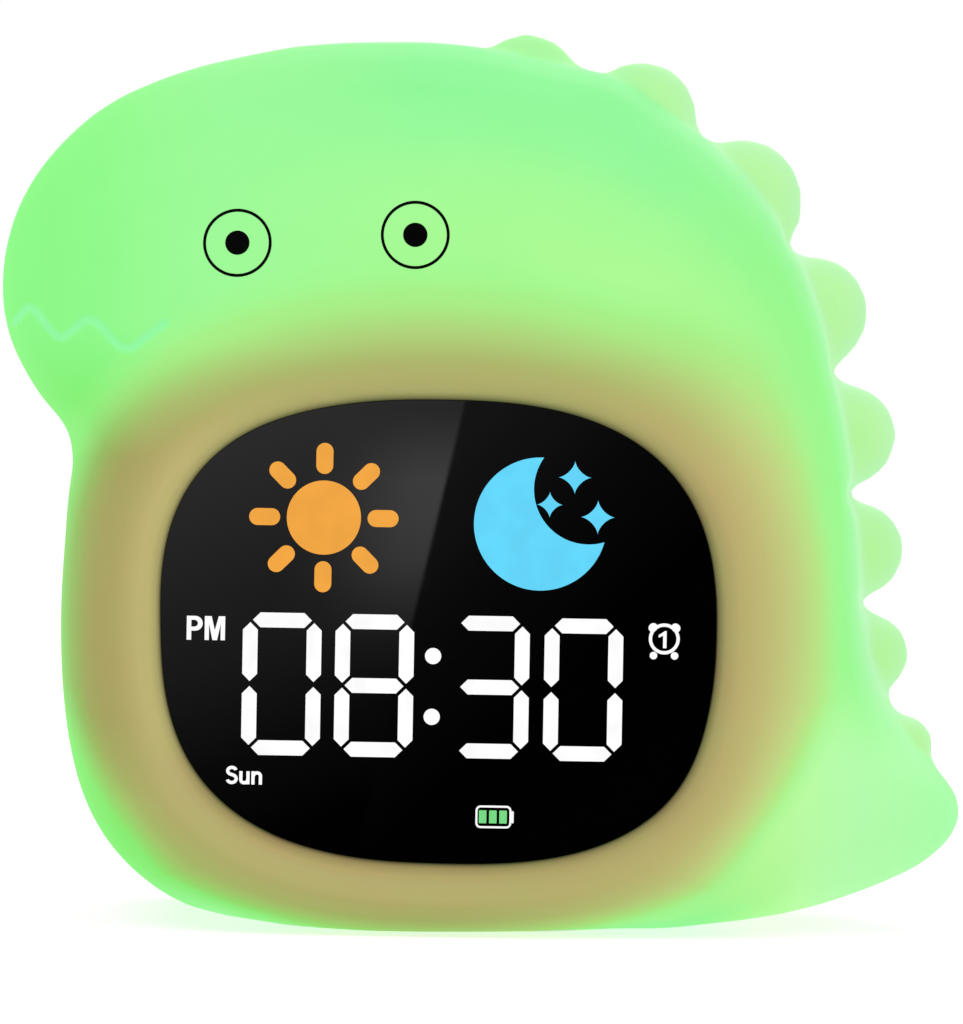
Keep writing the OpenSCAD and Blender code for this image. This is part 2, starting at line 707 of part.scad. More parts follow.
module rear_housing() {
    color([0.93, 0.92, 0.88]) difference() {
        union() {
            core_half(1);
            plate(panel_outline(0), core_y - eps, panel_y);
            base_pad(0, pad_l / 2);
            lamp_seats(post_d, seat_root, 0);
        }
        difference() {
            union() {
                plate(core_outline(cavity_margin), -1, shoulder_y);
                plate(core_outline(cavity_margin - core_edge), shoulder_y - eps, core_y - housing_t);
                plate(panel_outline(-housing_t), core_y - housing_t - eps, panel_in_y);
            }
            for (b = bosses) bar_y(b[0], b[1], boss_d, -2, core_y);
            for (p = board_posts) bar_y(p[0], p[1], post_d, board_y, panel_y - 1);
            bar_y(0, 0, wall_ring_d, speaker_y, panel_y - 1);
            base_pad(-2, pad_l / 2);
            for (x = [-1, 1]) translate([window_x + x * rib_x - rib_t / 2, cradle_t, 0])
                cube([rib_t, cell_y + cell_d / 2, cradle_bottom]);
        }
        bar_y(0, 0, speaker_d - 2, speaker_y - 1, panel_in_y);
        panel_holes(panel_in_y - 1, panel_y + 1);
        for (b = bosses) {
            bar_y(b[0], b[1], screw_d + 2 * part_gap, -1, screw_seat_y + 1);
            bar_y(b[0], b[1], screw_head_d + 2 * part_gap, screw_seat_y, core_y + 1);
        }
        for (p = board_posts)
            bar_y(p[0], p[1], small_d + 2 * pilot_gap, board_y - 1, board_y + small_grip + part_gap);
        base_pilots();
        lamp_seats(small_d + 2 * pilot_gap, seat_root, 1);
        lead_holes();
    }
}

// ---- Base -------------------------------------------------------------------
base_grip = 1.4;
head_seat_z = base_seat_z - base_grip;
foot_x = 16;
foot_y = 20;
feet_at = [for (x = [-1, 1], y = [-1, 1]) [x * foot_x, y * foot_y]];
module base_plate() {
    color([0.9, 0.9, 0.87]) difference() {
        union() {
            rounded_block(base_w, base_l, base_r, base_lift, base_lift + base_t);
            rounded_block(boss_w, boss_l, boss_r, base_lift, base_seat_z);
        }
        for (p = feet_at) translate([window_x + p[0], p[1], 0])
            cylinder(d = foot_d + 2 * part_gap, h = base_lift + foot_seat);
        for (p = base_screws_at) translate([window_x + p[0], p[1], 0]) {
            cylinder(d = screw_head_d + 2 * part_gap, h = head_seat_z);
            cylinder(d = screw_d + 2 * part_gap, h = base_seat_z + 1);
        }
    }
}
module rubber_feet() {
    color([0.85, 0.86, 0.84]) for (p = feet_at)
        translate([window_x + p[0], p[1], 0]) cylinder(d = foot_d, h = base_lift + foot_seat);
}

// ---- Main board ---------------------------------------------------------------
board_w = 74;
board_h = 50;
notch_d = boss_d + 2;
module main_board() {
    color([0.05, 0.3, 0.15]) difference() {
        intersection() {
            box_y(0, 0, board_w, board_h, board_front_y, board_y);
            plate(core_outline(cavity_margin - core_edge - 4 * part_gap), board_front_y, board_y);
        }
        for (b = bosses) bar_y(b[0], b[1], notch_d, board_front_y - 1, board_y + 1);
        for (p = board_posts) bar_y(p[0], p[1], small_d + 2 * part_gap, board_front_y - 1, board_y + 1);
        bar_y(0, 0, speaker_d + 1, board_front_y - 1, board_y + 1);
    }
}
// Chips and connectors on the board's inner face: x, z, width, height, rise.
chips = [[-25, 17, 9, 9, 1.6], [25, 17.5, 7, 5, 1.4], [-27, -17, 6, 5, 1.2], [0, 22.4, 16, 4, 3],
    [27, -14.5, 5, 5, 1.6], [-29, 4.5, 4, 3, 1], [29, -1, 3, 5, 1]];
module board_chips() {
    color([0.08, 0.08, 0.09]) for (c = chips)
        box_y(c[0], c[1], c[2], c[3], board_front_y - c[4], board_front_y);
}
plunger_in = 1.6;
plunger_out = 0.8;
module switch_bodies() {
    color([0.12, 0.12, 0.13]) for (k = [0:5]) difference() {
        box_y(key_at(k)[0], key_at(k)[1], switch_w, switch_w, board_y, switch_y);
        bar_y(key_at(k)[0], key_at(k)[1], plunger_d + 2 * run_gap,
            switch_y - plunger_in - key_travel - part_gap, switch_y + 1);
    }
}
module plunger(i) {
    color([0.85, 0.85, 0.83])
        bar_y(key_at(i)[0], key_at(i)[1], plunger_d, switch_y - plunger_in, switch_y + plunger_out);
}
stem_d = 3;
module key(i, tint) {
    color(tint) {
        bar_y(key_at(i)[0], key_at(i)[1], key_d, flange_y + flange_t - eps, panel_y + key_rise);
        bar_y(key_at(i)[0], key_at(i)[1], key_d + 2 * flange_w, flange_y, flange_y + flange_t);
        bar_y(key_at(i)[0], key_at(i)[1], stem_d, switch_y + plunger_out, flange_y + eps);
    }
}
key_grey = [0.86, 0.88, 0.86];
module set_key() { key(0, key_grey); }
module set_plunger() { plunger(0); }
module alarm_key() { key(1, key_grey); }
module alarm_plunger() { plunger(1); }
module sound_key() { key(2, key_grey); }
module sound_plunger() { plunger(2); }
module light_key() { key(3, key_grey); }
module light_plunger() { plunger(3); }
module up_key() { key(4, key_grey); }
module up_plunger() { plunger(4); }
module down_key() { key(5, key_grey); }
module down_plunger() { plunger(5); }

// A spring tube that closes when the head is patted lies along the board.
tap_d = 5;
tap_l = 5;
tap_x = 15;
tap_rise = 17;
module tap_sensor() {
    color([0.75, 0.65, 0.3]) translate([window_x + tap_x, board_front_y - tap_d / 2, window_z + tap_rise])
        rod_x(tap_d, tap_l);
}

// The ribbon lies flat between the two boards and plugs into the white socket.
ribbon_w = 14;
ribbon_t = 0.4;
ribbon_z = chips[3][1];
module display_cable() {
    color([0.85, 0.85, 0.88])
        box_y(0, ribbon_z, ribbon_w, ribbon_t, display_board_back, board_front_y - chips[3][4]);
}

// ---- Power -----------------------------------------------------------------
usb_sunk = 0.4;
usb_reach = panel_y - usb_sunk;
usb_depth = 6.4;
module usb_shell() {
    color([0.7, 0.7, 0.72]) difference() {
        pill_y(-port_offset, -port_drop, usb_w, usb_h, board_y, usb_reach);
        pill_y(-port_offset, -port_drop, mouth_usb_w, mouth_usb_h, usb_reach - usb_depth, usb_reach + 1);
    }
}
tongue_w = 6.7;
tongue_t = 0.7;
tongue_in = 0.8;
module usb_tongue() {
    color([0.08, 0.08, 0.08])
        box_y(-port_offset, -port_drop, tongue_w, tongue_t, usb_reach - usb_depth, usb_reach - tongue_in);
}
lever_w = 1.4;
lever_out = 2;
lever_in = 1.5;
slide_body_w = 8.6;
slide_body_h = 3.7;
module power_switch_body() {
    slot = lever_w + 2 * key_gap;
    slot_floor = switch_y - lever_in - part_gap;
    color([0.65, 0.65, 0.67]) difference() {
        box_y(port_offset, -port_drop, slide_body_w, slide_body_h, board_y, switch_y);
        box_y(port_offset, -port_drop, slot + slider_travel, slot, slot_floor, switch_y + 1);
    }
}
// At rest the slider stands at the left end of its slot, the off position.
slider_x = port_offset - slider_travel / 2;
slider_rise = 0.6;
slider_flange_w = 12;
slider_flange_h = 4.6;
grip_w = 0.3;
grip_pitch = 0.8;
module power_slider() {
    top = panel_y + slider_rise;
    pocket = lever_w + 2 * part_gap;
    color([0.2, 0.2, 0.22]) difference() {
        union() {
            box_y(slider_x, -port_drop, slider_w, slider_h, flange_y + flange_t - eps, top);
            box_y(slider_x, -port_drop, slider_flange_w, slider_flange_h, flange_y, flange_y + flange_t);
        }
        for (i = [-2:2])
            box_y(slider_x + i * grip_pitch, -port_drop, grip_w, slider_h + 1, top - grip_w, top + 1);
        box_y(slider_x, -port_drop, pocket, pocket, flange_y - 1, switch_y + lever_out + part_gap);
    }
}
module switch_lever() {
    color([0.1, 0.1, 0.1])
        box_y(slider_x, -port_drop, lever_w, lever_w, switch_y - lever_in, switch_y + lever_out);
}

// ---- Speaker -----------------------------------------------------------------
gasket_y = speaker_y - gasket_t;
gasket_w = 2.5;
rim_t = 1.2;
rim_w = 3;
frame_y = gasket_y - rim_t;
basket_y = frame_y - basket_h;
module tube_y(d_out, d_in, y0, y1) {
    difference() {
        bar_y(0, 0, d_out, y0, y1);
        bar_y(0, 0, d_in, y0 - 1, y1 + 1);
    }
}
module speaker_gasket() {
    color([0.1, 0.1, 0.1]) tube_y(speaker_d, speaker_d - 2 * gasket_w, gasket_y, speaker_y);
}
// The basket is turned: a flange, a bowl and a seat for the magnet.
frame_t = 0.8;
module speaker_frame() {
    r = speaker_d / 2;
    seat = magnet_d / 2;
    color([0.3, 0.3, 0.32]) translate([window_x, frame_y, window_z]) rotate([90, 0, 0]) rotate_extrude()
        polygon([[r, -rim_t], [r, 0], [r - rim_w + frame_t, 0], [seat + 1, basket_h], [0, basket_h],
            [0, basket_h - frame_t], [seat + 1 - frame_t, basket_h - frame_t], [r - rim_w, 0],
            [r - rim_w, -rim_t]]);
}
// The cone is turned too: a roll at its edge, the cone and a cap in its middle.
cap_r = 5;
cone_t = 0.4;
cone_deep = 5;
roll_w = 3;
module speaker_cone() {
    r = speaker_d / 2 - rim_w - part_gap;
    color([0.12, 0.12, 0.12]) translate([window_x, frame_y, window_z]) rotate([90, 0, 0]) rotate_extrude()
        polygon([[r, -rim_t], [r, -rim_t + cone_t], [r - roll_w, -cone_t], [cap_r, cone_deep],
            [0, cone_deep + 1], [0, cone_deep + 1 - cone_t], [cap_r - cone_t, cone_deep - cone_t],
            [r - roll_w, -1], [r - roll_w / 2, -rim_t - cone_t / 2]]);
}
module speaker_magnet() {
    color([0.55, 0.55, 0.57]) bar_y(0, 0, magnet_d, basket_y - magnet_h, basket_y);
}
module grille_cloth() {
    color([0.15, 0.15, 0.15])
        bar_y(0, 0, speaker_d - 2 - 4 * part_gap, panel_in_y - part_gap - film_t, panel_in_y - part_gap);
}

// ---- Battery -------------------------------------------------------------------
cradle_h = 12;
cradle_end = 6;
module battery_cradle() {
    half = cell_l / 2 + part_gap;
    color([0.85, 0.85, 0.82]) difference() {
        block(window_x - half - cradle_t, window_x + half + cradle_t, cell_y - cell_d / 2 - cradle_t / 2,
            cell_y + cell_d / 2 + cradle_t / 2, cradle_bottom, cradle_bottom + cradle_h);
        translate([window_x - half, cell_y, cell_z]) rod_x(cell_d + 2 * part_gap, 2 * half);
        block(window_x - half + cradle_end, window_x + half - cradle_end, cell_y - cell_d, cell_y + cell_d,
            cradle_bottom + 2 * cradle_t, cradle_bottom + cradle_h + 1);
    }
}
tip_d = 5.5;
tip_l = 0.8;
module battery_cell() {
    color([0.2, 0.35, 0.7]) translate([window_x - cell_l / 2, cell_y, cell_z]) rotate([0, 90, 0]) {
        cylinder(d = cell_d, h = cell_l - tip_l);
        cylinder(d = tip_d, h = cell_l);
    }
}
lead_out = 22;
lead_z = 23;
speaker_lead_l = 6.4;
module battery_leads() {
    y0 = cell_y + cell_d / 2 + cradle_t / 2;
    color([0.75, 0.1, 0.1]) for (x = [-1, 1])
        bar_y(x * lead_out, lead_z - window_z, lead_d, y0, board_front_y);
}
module speaker_leads() {
    r = speaker_d / 2 + 2;
    thin = lead_d / 2;
    color([0.1, 0.1, 0.1]) for (z = [-lead_d, lead_d]) {
        bar_y(-r, z, thin, board_front_y - lead_d, board_front_y);
        translate([window_x - r - thin / 2, board_front_y - lead_d, window_z + z])
            rod_x(thin, speaker_lead_l);
    }
}

// ---- Night light -----------------------------------------------------------------
module top_lamp_board() {
    color([0.95, 0.95, 0.95]) difference() {
        block(window_x - top_lamp_l / 2, window_x + top_lamp_l / 2, lamp_y - lamp_w / 2, lamp_y + lamp_w / 2,
            top_lamp_z, top_lamp_z + lamp_board_t);
        lamp_seats(small_d + 2 * part_gap, 0, 3);
    }
}
lamp_board_t = 1.2;
module side_lamp_board(x0) {
    color([0.95, 0.95, 0.95]) difference() {
        translate([x0, lamp_y - lamp_w / 2, window_z - lamp_l / 2]) cube([lamp_board_t, lamp_w, lamp_l]);
        lamp_seats(small_d + 2 * part_gap, 0, 3);
    }
}
module left_lamp_board() { side_lamp_board(left_lamp_x - lamp_board_t); }
module right_lamp_board() { side_lamp_board(right_lamp_x); }
chip_pitch = 8.4;
module lamp_chips() {
    c = chip_w / 2;
    color([1, 0.98, 0.85]) {
        for (i = [-1:1]) translate([window_x + i * chip_pitch - c, lamp_y - c, top_lamp_z + lamp_board_t])
            cube([chip_w, chip_w, chip_h]);
        for (i = [-0.5, 0.5]) {
            z = window_z + i * chip_pitch - c;
            translate([left_lamp_x - lamp_board_t - chip_h, lamp_y - c, z]) cube([chip_h, chip_w, chip_w]);
            translate([right_lamp_x + lamp_board_t, lamp_y - c, z]) cube([chip_h, chip_w, chip_w]);
        }
    }
}
// Each lamp board has a lead that enters the core and runs back to the board.
module lamp_leads() {
    color([0.75, 0.1, 0.1]) {
        translate([window_x + lead_x, lamp_y, top_lamp_z - lead_drop]) {
            cylinder(d = lead_d, h = lead_drop);
            sphere(d = lead_d);
            rotate([-90, 0, 0]) cylinder(d = lead_d, h = board_front_y - lamp_y);
        }
        for (s = [-1, 1]) let (x = s < 0 ? left_lamp_x + lead_in : right_lamp_x - lead_in)
            translate([x, lamp_y, window_z]) {
            rotate([0, s * 90, 0]) cylinder(d = lead_d, h = lead_in);
            sphere(d = lead_d);
            rotate([-90, 0, 0]) cylinder(d = lead_d, h = board_front_y - lamp_y);
        }
    }
}

// ---- Screws --------------------------------------------------------------------
// A pan head screw that points along -Z from its seat at the origin.
module screw(d, head_d, head_h, length) {
    cylinder(d = head_d, h = head_h);
    translate([0, 0, -length]) cylinder(d = d, h = length + eps);
}
small_grip = 3;
module housing_screws() {
    color("silver") for (b = bosses) translate([window_x + b[0], screw_seat_y, window_z + b[1]])
        rotate([-90, 0, 0]) screw(screw_d, screw_head_d, screw_head_h, screw_l);
}
module base_screws() {
    head_h = head_seat_z - base_lift - foot_seat;
    color("silver") for (p = base_screws_at) translate([window_x + p[0], p[1], head_seat_z])
        rotate([180, 0, 0]) screw(screw_d, screw_head_d, head_h, base_screw_top - head_seat_z);
}
module board_screws() {
    color("silver") for (p = board_posts) translate([window_x + p[0], board_front_y, window_z + p[1]])
        rotate([90, 0, 0]) screw(small_d, small_head_d, small_head_h, board_t + small_grip);
}
module display_screws() {
    color("silver") for (e = ears) translate([window_x + e[0], display_board_back, window_z + e[1]])
        rotate([-90, 0, 0]) screw(small_d, small_head_d, small_head_h, board_t + small_grip);
}
module lamp_screws() {
    length = lamp_board_t + seat_root - 2 * film_t;
    color("silver") {
        for (x = [-1, 1]) translate([window_x + x * top_seat_x, lamp_y, top_lamp_z + lamp_board_t])
            screw(small_d, small_head_d, small_head_h, length);
        for (z = [-1, 1]) {
            translate([left_lamp_x - lamp_board_t, lamp_y, window_z + z * side_seat_z]) rotate([0, -90, 0])
                screw(small_d, small_head_d, small_head_h, length);
            translate([right_lamp_x + lamp_board_t, lamp_y, window_z + z * side_seat_z]) rotate([0, 90, 0])
                screw(small_d, small_head_d, small_head_h, length);
        }
    }
}

silicone_skin();
eye_prints();
display_lens();
lens_tape();
display_diffuser();
display_block();
display_board();
display_leds();
front_housing();
rear_housing();
base_plate();
rubber_feet();
main_board();
board_chips();
switch_bodies();
tap_sensor();
display_cable();
speaker_gasket();
speaker_frame();
speaker_cone();
speaker_magnet();
grille_cloth();
battery_cradle();
battery_cell();
battery_leads();
speaker_leads();
lamp_leads();
top_lamp_board();
left_lamp_board();
right_lamp_board();
lamp_chips();
usb_shell();
usb_tongue();
power_switch_body();
housing_screws();
base_screws();
board_screws();
display_screws();
lamp_screws();
set_key();
set_plunger();
alarm_key();
alarm_plunger();
sound_key();
sound_plunger();
light_key();
light_plunger();
up_key();
up_plunger();
down_key();
down_plunger();
power_slider();
switch_lever();
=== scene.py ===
import math

import bpy
from mathutils import Matrix, Vector


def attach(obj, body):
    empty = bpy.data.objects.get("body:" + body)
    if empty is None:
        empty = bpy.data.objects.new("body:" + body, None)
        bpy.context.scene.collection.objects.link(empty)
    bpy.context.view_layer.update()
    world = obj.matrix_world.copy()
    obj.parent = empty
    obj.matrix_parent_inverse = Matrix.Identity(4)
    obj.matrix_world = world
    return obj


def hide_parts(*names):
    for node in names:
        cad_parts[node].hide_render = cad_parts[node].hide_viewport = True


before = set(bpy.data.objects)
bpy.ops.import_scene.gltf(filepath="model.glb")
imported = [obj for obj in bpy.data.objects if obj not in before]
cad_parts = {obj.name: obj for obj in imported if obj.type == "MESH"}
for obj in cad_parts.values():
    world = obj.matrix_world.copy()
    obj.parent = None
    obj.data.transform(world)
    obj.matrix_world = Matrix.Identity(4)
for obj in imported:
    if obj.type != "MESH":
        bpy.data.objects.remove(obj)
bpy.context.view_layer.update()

# ---- Silicone skin ----------------------------------------------------------
# One moulding of milky silicone, 3 mm thick, with the snout, scutes and tail.
# It is drawn over the hard core. Its green glow from the lamps inside is painted
# into its colour as emission, and so is the painted shade where it lies against the
# core round the window.
MM = 0.001
WINDOW_X, WINDOW_Z = -6, 42.8
WINDOW_W, WINDOW_H = 77.5, 64.5
PANEL_W, PANEL_H = 72.5, 58.5
SQUARENESS = 2.7
LEAN = 0.02
FACE_Y = 44
# Each scute is a line in the face's plane, x z to x z, with a radius round it.
SCUTES = [(5.7, 121.1, 5.7, 118.8, 7.4), (22.6, 117, 22.8, 114.8, 7.7), (37.1, 105.1, 37, 103, 8.8),
          (47.7, 88.9, 44.7, 85.2, 8.1), (52.9, 71.1, 48.5, 72, 7.3), (54.7, 54.5, 51.5, 55.5, 6.9),
          (56.9, 39.4, 52.9, 40.8, 5.7), (62.4, 26.5, 59, 27.2, 3.9)]
SCUTE_HALF = 7.5
TAIL_TIP = (68, 16)
WELD = 0.002
VOXEL = 1.2
SMOOTHING_TURNS = 26
MOUTH = [(-67.4, 85.1), (-64.7, 87.6), (-60.1, 82.3), (-55.6, 85.9), (-50.4, 80.7), (-45, 85)]
MOUTH_RIGHT = -40
MOUTH_HALF = 0.62
MOUTH_DEPTH = 0.4
MOUTH_REACH = 1.6
MOUTH_PATCH = 2.2
# The lip of the front opening: how far outside the window's outline it stands,
# where its centre lies from the window's, and where it is drawn in (the angle
# about the centre, the reach to each side in degrees and the most in mm).
LIP = 0.08
LIP_SHIFT = (-0.2, -0.14)
LIP_EASES = [(220, 36, 0.58), (121, 18, 0.32), (342, 14, 0.48)]
LIP_FROM_Y = -39
LIP_REACH = 1.6
# Where the outline is eased after the smoothing: a line in the face's plane from
# one point to another, the way the skin goes, how far this reaches and the most.
SWELLS = [((16.5, 120.5), (18.5, 119.5), (0.3, 0.95), 4.5, 0.9), ((-7, 126), (-2, 126), (0, 1), 5, 0.25),
          ((-57, 17), (-43, 8), (-0.7, -0.7), 9, 0.55), ((-24, 1), (24, 1), (0, -1), 6, 0.22),
          ((30, 1), (62, 9), (0.25, -0.95), 8, 0.68), ((67, 15), (69, 18), (0.9, -0.3), 5, 0.3),
          ((-46, 117), (-36, 121), (0.3, -1), 6, 0.4), ((-60, 71), (-60, 66), (1, 0), 4, 0.5),
          ((44.7, 99.1), (44.8, 99), (-0.95, -0.3), 2.2, 0.8),
          ((51.5, 80.5), (51.5, 80.4), (-1, -0.15), 2.2, 0.5),
          ((54, 62.4), (54, 62.3), (-1, 0), 2.2, 1.0), ((55.9, 47.2), (55.9, 47.1), (-1, 0), 2.2, 0.6)]


def only(*pieces):
    bpy.ops.object.select_all(action="DESELECT")
    for piece in pieces:
        piece.select_set(True)
    bpy.context.view_layer.objects.active = pieces[0]


def copy_of(node, name):
    """A free copy of a CAD node with its loose triangles merged."""
    piece = bpy.data.objects.new(name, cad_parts[node].data.copy())
    bpy.context.scene.collection.objects.link(piece)
    only(piece)
    bpy.ops.object.mode_set(mode="EDIT")
    bpy.ops.mesh.select_all(action="SELECT")
    bpy.ops.mesh.remove_doubles(threshold=WELD * MM)
    bpy.ops.object.mode_set(mode="OBJECT")
    piece.data.materials.clear()
    return piece


def shaped(piece, kind, **settings):
    """Adds a modifier with these settings and applies it."""
    only(piece)
    modifier = piece.modifiers.new(kind.title(), kind)
    for key, value in settings.items():
        setattr(modifier, key, value)
    bpy.ops.object.modifier_apply(modifier=modifier.name)


def beyond_outline(x, z, w, h):
    """How far a point of the face lies outside a rounded outline, in mm."""
    dx, dz = x - WINDOW_X + LEAN * (z - WINDOW_Z), z - WINDOW_Z
    size = ((abs(dx) / w * 2) ** SQUARENESS + (abs(dz) / h * 2) ** SQUARENESS) ** (1 / SQUARENESS)
    return math.hypot(dx, dz) * (1 - 1 / max(size, 0.01))


def lip_edge(x, z):
    """How far outside the window's outline the lip stands, seen from the window's centre, in mm."""
    turn = math.degrees(math.atan2(z, x))
    offs = [((turn - at + 180) % 360 - 180, reach, most) for at, reach, most in LIP_EASES]
    return LIP - sum(most * math.exp(-(off / reach) ** 2) for off, reach, most in offs)


def from_segment(x, z, a, b):
    """Distance in the face's plane from a point to the line a to b."""
    along = (b[0] - a[0], b[1] - a[1])
    t = ((x - a[0]) * along[0] + (z - a[1]) * along[1]) / (along[0] ** 2 + along[1] ** 2)
    t = min(max(t, 0), 1)
    return math.hypot(x - a[0] - t * along[0], z - a[1] - t * along[1])


def on_scute(x, y, z):
    """Below 1 inside a scute, 1 on its surface, more outside."""
    return min(math.hypot(from_segment(x, z, s[:2], s[2:4]) / s[4], y / SCUTE_HALF) for s in SCUTES)


def step(value, low, high):
    """0 below low and 1 above high, with a soft step between them."""
    t = min(max((value - low) / (high - low), 0), 1)
    return t * t * (3 - 2 * t)


skin = copy_of("silicone_skin", "skin")
shaped(skin, "REMESH", mode="VOXEL", voxel_size=VOXEL * MM)

# The smoothing stays weak at the lips, the lower edge, the scutes and the tail.
soft = skin.vertex_groups.new(name="soft")
for v in skin.data.vertices:
    x, y, z = v.co / MM
    if y < 0:
        lip = abs(beyond_outline(x, z, WINDOW_W, WINDOW_H))
    else:
        lip = abs(beyond_outline(x, z, PANEL_W, PANEL_H))
    lip = max(lip, FACE_Y - 6 - abs(y))
    tail = math.hypot(x - TAIL_TIP[0], z - TAIL_TIP[1])
    weight = min(0.2 + step(lip, 2, 6), 0.2 + step(z, 3, 8), 0.2 + step(on_scute(x, y, z), 1.1, 1.5),
                 0.3 + step(tail, 6, 16))
    soft.add([v.index], min(weight, 1), "REPLACE")
shaped(skin, "SMOOTH", factor=0.5, iterations=SMOOTHING_TURNS, vertex_group="soft")

# The outline swells or draws in a little where the smoothing moved it, and the
# lip of the front opening is brought back to the lens's edge.
for v in skin.data.vertices:
    x, y, z = v.co / MM
    if beyond_outline(x, z, WINDOW_W, WINDOW_H) > 3:
        for a, b, towards, reach, most in SWELLS:
            share = most * math.exp(-(from_segment(x, z, a, b) / reach) ** 2)
            v.co.x += towards[0] * share * MM
            v.co.z += towards[1] * share * MM
    x, z = x - LIP_SHIFT[0], z - LIP_SHIFT[1]
    past = beyond_outline(x, z, WINDOW_W, WINDOW_H)
    if y < LIP_FROM_Y and abs(past) < LIP_REACH:
        lip = lip_edge(x - WINDOW_X, z - WINDOW_Z)
        reach = (lip - past) * (1 - step(past, 0.5, LIP_REACH)) / math.hypot(x - WINDOW_X, z - WINDOW_Z)
        v.co.x += (x - WINDOW_X) * reach * MM
        v.co.z += (z - WINDOW_Z) * reach * MM

# The groove is pressed into a finer patch of the face.
rounded_mouth = MOUTH
for turn in range(2):
    cut_corners = []
    for (ax, az), (bx, bz) in zip(rounded_mouth, rounded_mouth[1:]):
        cut_corners += [(ax * 0.85 + bx * 0.15, az * 0.85 + bz * 0.15),
                        (ax * 0.15 + bx * 0.85, az * 0.15 + bz * 0.85)]
    rounded_mouth = [MOUTH[0]] + cut_corners + [MOUTH[-1]]


def from_mouth(x, z):
    return min(from_segment(x, z, a, b) for a, b in zip(rounded_mouth, rounded_mouth[1:]))


def near_mouth(co, reach):
    x, y, z = co / MM
    return x < MOUTH_RIGHT and y < -3 and 77 < z < 92 and from_mouth(x, z) < reach


only(skin)
bpy.ops.object.mode_set(mode="EDIT")
bpy.ops.mesh.select_mode(type="FACE")
bpy.ops.mesh.select_all(action="DESELECT")
bpy.ops.object.mode_set(mode="OBJECT")
for face in skin.data.polygons:
    if face.center.x < MOUTH_RIGHT * MM and face.normal.y < 0.3 and near_mouth(face.center, MOUTH_PATCH):
        face.select = True
bpy.ops.object.mode_set(mode="EDIT")
bpy.ops.mesh.subdivide(number_cuts=3, smoothness=0)
bpy.ops.object.mode_set(mode="OBJECT")
for v in skin.data.vertices:
    if v.normal.y < 0.3 and near_mouth(v.co, MOUTH_REACH):
        d = from_mouth(v.co.x / MM, v.co.z / MM)
        v.co -= v.normal * MOUTH_DEPTH * MM * math.exp(-(d / MOUTH_HALF) ** 2)
for face in skin.data.polygons:
    face.use_smooth = True

# Four measures that the painted glow and painted shade follow, kept on the skin's
# points. The first is the distance from the opening, and 1 stands for 20 mm.
GLOW_SPAN = 20
from_window, scute_share, scute_rim, mouth_share = [], [], [], []
for v in skin.data.vertices:
    x, y, z = v.co / MM
    in_front = (beyond_outline(x - LIP_SHIFT[0], z - LIP_SHIFT[1], WINDOW_W, WINDOW_H)
                - lip_edge(x - LIP_SHIFT[0] - WINDOW_X, z - LIP_SHIFT[1] - WINDOW_Z))
    behind = beyond_outline(x, z, PANEL_W, PANEL_H)
    from_window.append((in_front + (behind - in_front) * step(y, -10, 10)) / GLOW_SPAN)
    outside = beyond_outline(x, z, WINDOW_W, WINDOW_H) > 8
    scute_share.append(1 - step(on_scute(x, y, z), 0.95, 1.3) if outside else 0)
    scute_rim.append(min(from_segment(x, z, s[:2], s[2:4]) / s[4] for s in SCUTES))
    near = v.normal.y < 0.3 and near_mouth(v.co, MOUTH_REACH)
    mouth_share.append(math.exp(-(from_mouth(x, z) / MOUTH_HALF) ** 4) if near else 0)
for key, values in (("from_window", from_window), ("scute", scute_share), ("scute_rim", scute_rim),
                    ("mouth", mouth_share)):
    skin.data.attributes.new(key, "FLOAT", "POINT").data.foreach_set("value", values)


def srgb(r, g, b):
    """A colour as it reads on a screen, 0 to 255, in the renderer's linear values."""
    def value(c):
        c = c / 255
        return c / 12.92 if c <= 0.04045 else ((c + 0.055) / 1.055) ** 2.4
    return (value(r), value(g), value(b), 1)


def material(name):
    made = bpy.data.materials.new(name)
    made.use_nodes = True
    return made, made.node_tree.nodes, made.node_tree.links, made.node_tree.nodes["Principled BSDF"]


def ramp(nodes, links, source, stops):
    """A colour ramp driven by source, with (place, colour) stops."""
    made = nodes.new("ShaderNodeValToRGB")
    while len(made.color_ramp.elements) < len(stops):
        made.color_ramp.elements.new(1)
    for element, (place, colour) in zip(made.color_ramp.elements, stops):
        element.position, element.color = place, colour
    links.new(source, made.inputs["Fac"])
    return made.outputs["Color"]


def blend(nodes, links, share, first, second):
    """Mixes two colours, sockets or plain, by a share that is a socket or a number."""
    made = nodes.new("ShaderNodeMix")
    made.data_type = "RGBA"
    for socket, value in ((made.inputs[0], share), (made.inputs[6], first), (made.inputs[7], second)):
        if isinstance(value, bpy.types.NodeSocket):
            links.new(value, socket)
        else:
            socket.default_value = value
    return made.outputs[2]


def spread(nodes, links, source, low, high, new_low=0.0, new_high=1.0):
    """Maps a value from one range on to another, held at its ends."""
    made = nodes.new("ShaderNodeMapRange")
    links.new(source, made.inputs["Value"])
    for key, value in (("From Min", low), ("From Max", high), ("To Min", new_low), ("To Max", new_high)):
        made.inputs[key].default_value = value
    return made.outputs["Result"]


def noise(nodes, links, scale, detail=3.0):
    """Noise on Object coordinates; scale is in features a metre."""
    place = nodes.new("ShaderNodeTexCoord")
    made = nodes.new("ShaderNodeTexNoise")
    made.inputs["Scale"].default_value = scale
    made.inputs["Detail"].default_value = detail
    links.new(place.outputs["Object"], made.inputs["Vector"])
    return made.outputs["Fac"]


def grain(nodes, links, shader, scale, strength, depth):
    """A fine moulded grain in the surface; depth is in mm."""
    made = nodes.new("ShaderNodeBump")
    made.inputs["Strength"].default_value = strength
    made.inputs["Distance"].default_value = depth * MM
    links.new(noise(nodes, links, scale), made.inputs["Height"])
    links.new(made.outputs["Normal"], shader.inputs["Normal"])


glow, nodes, links, shader = material("glowing_silicone")


def kept(key):
    made = nodes.new("ShaderNodeAttribute")
    made.attribute_name = key
    return made.outputs["Fac"]


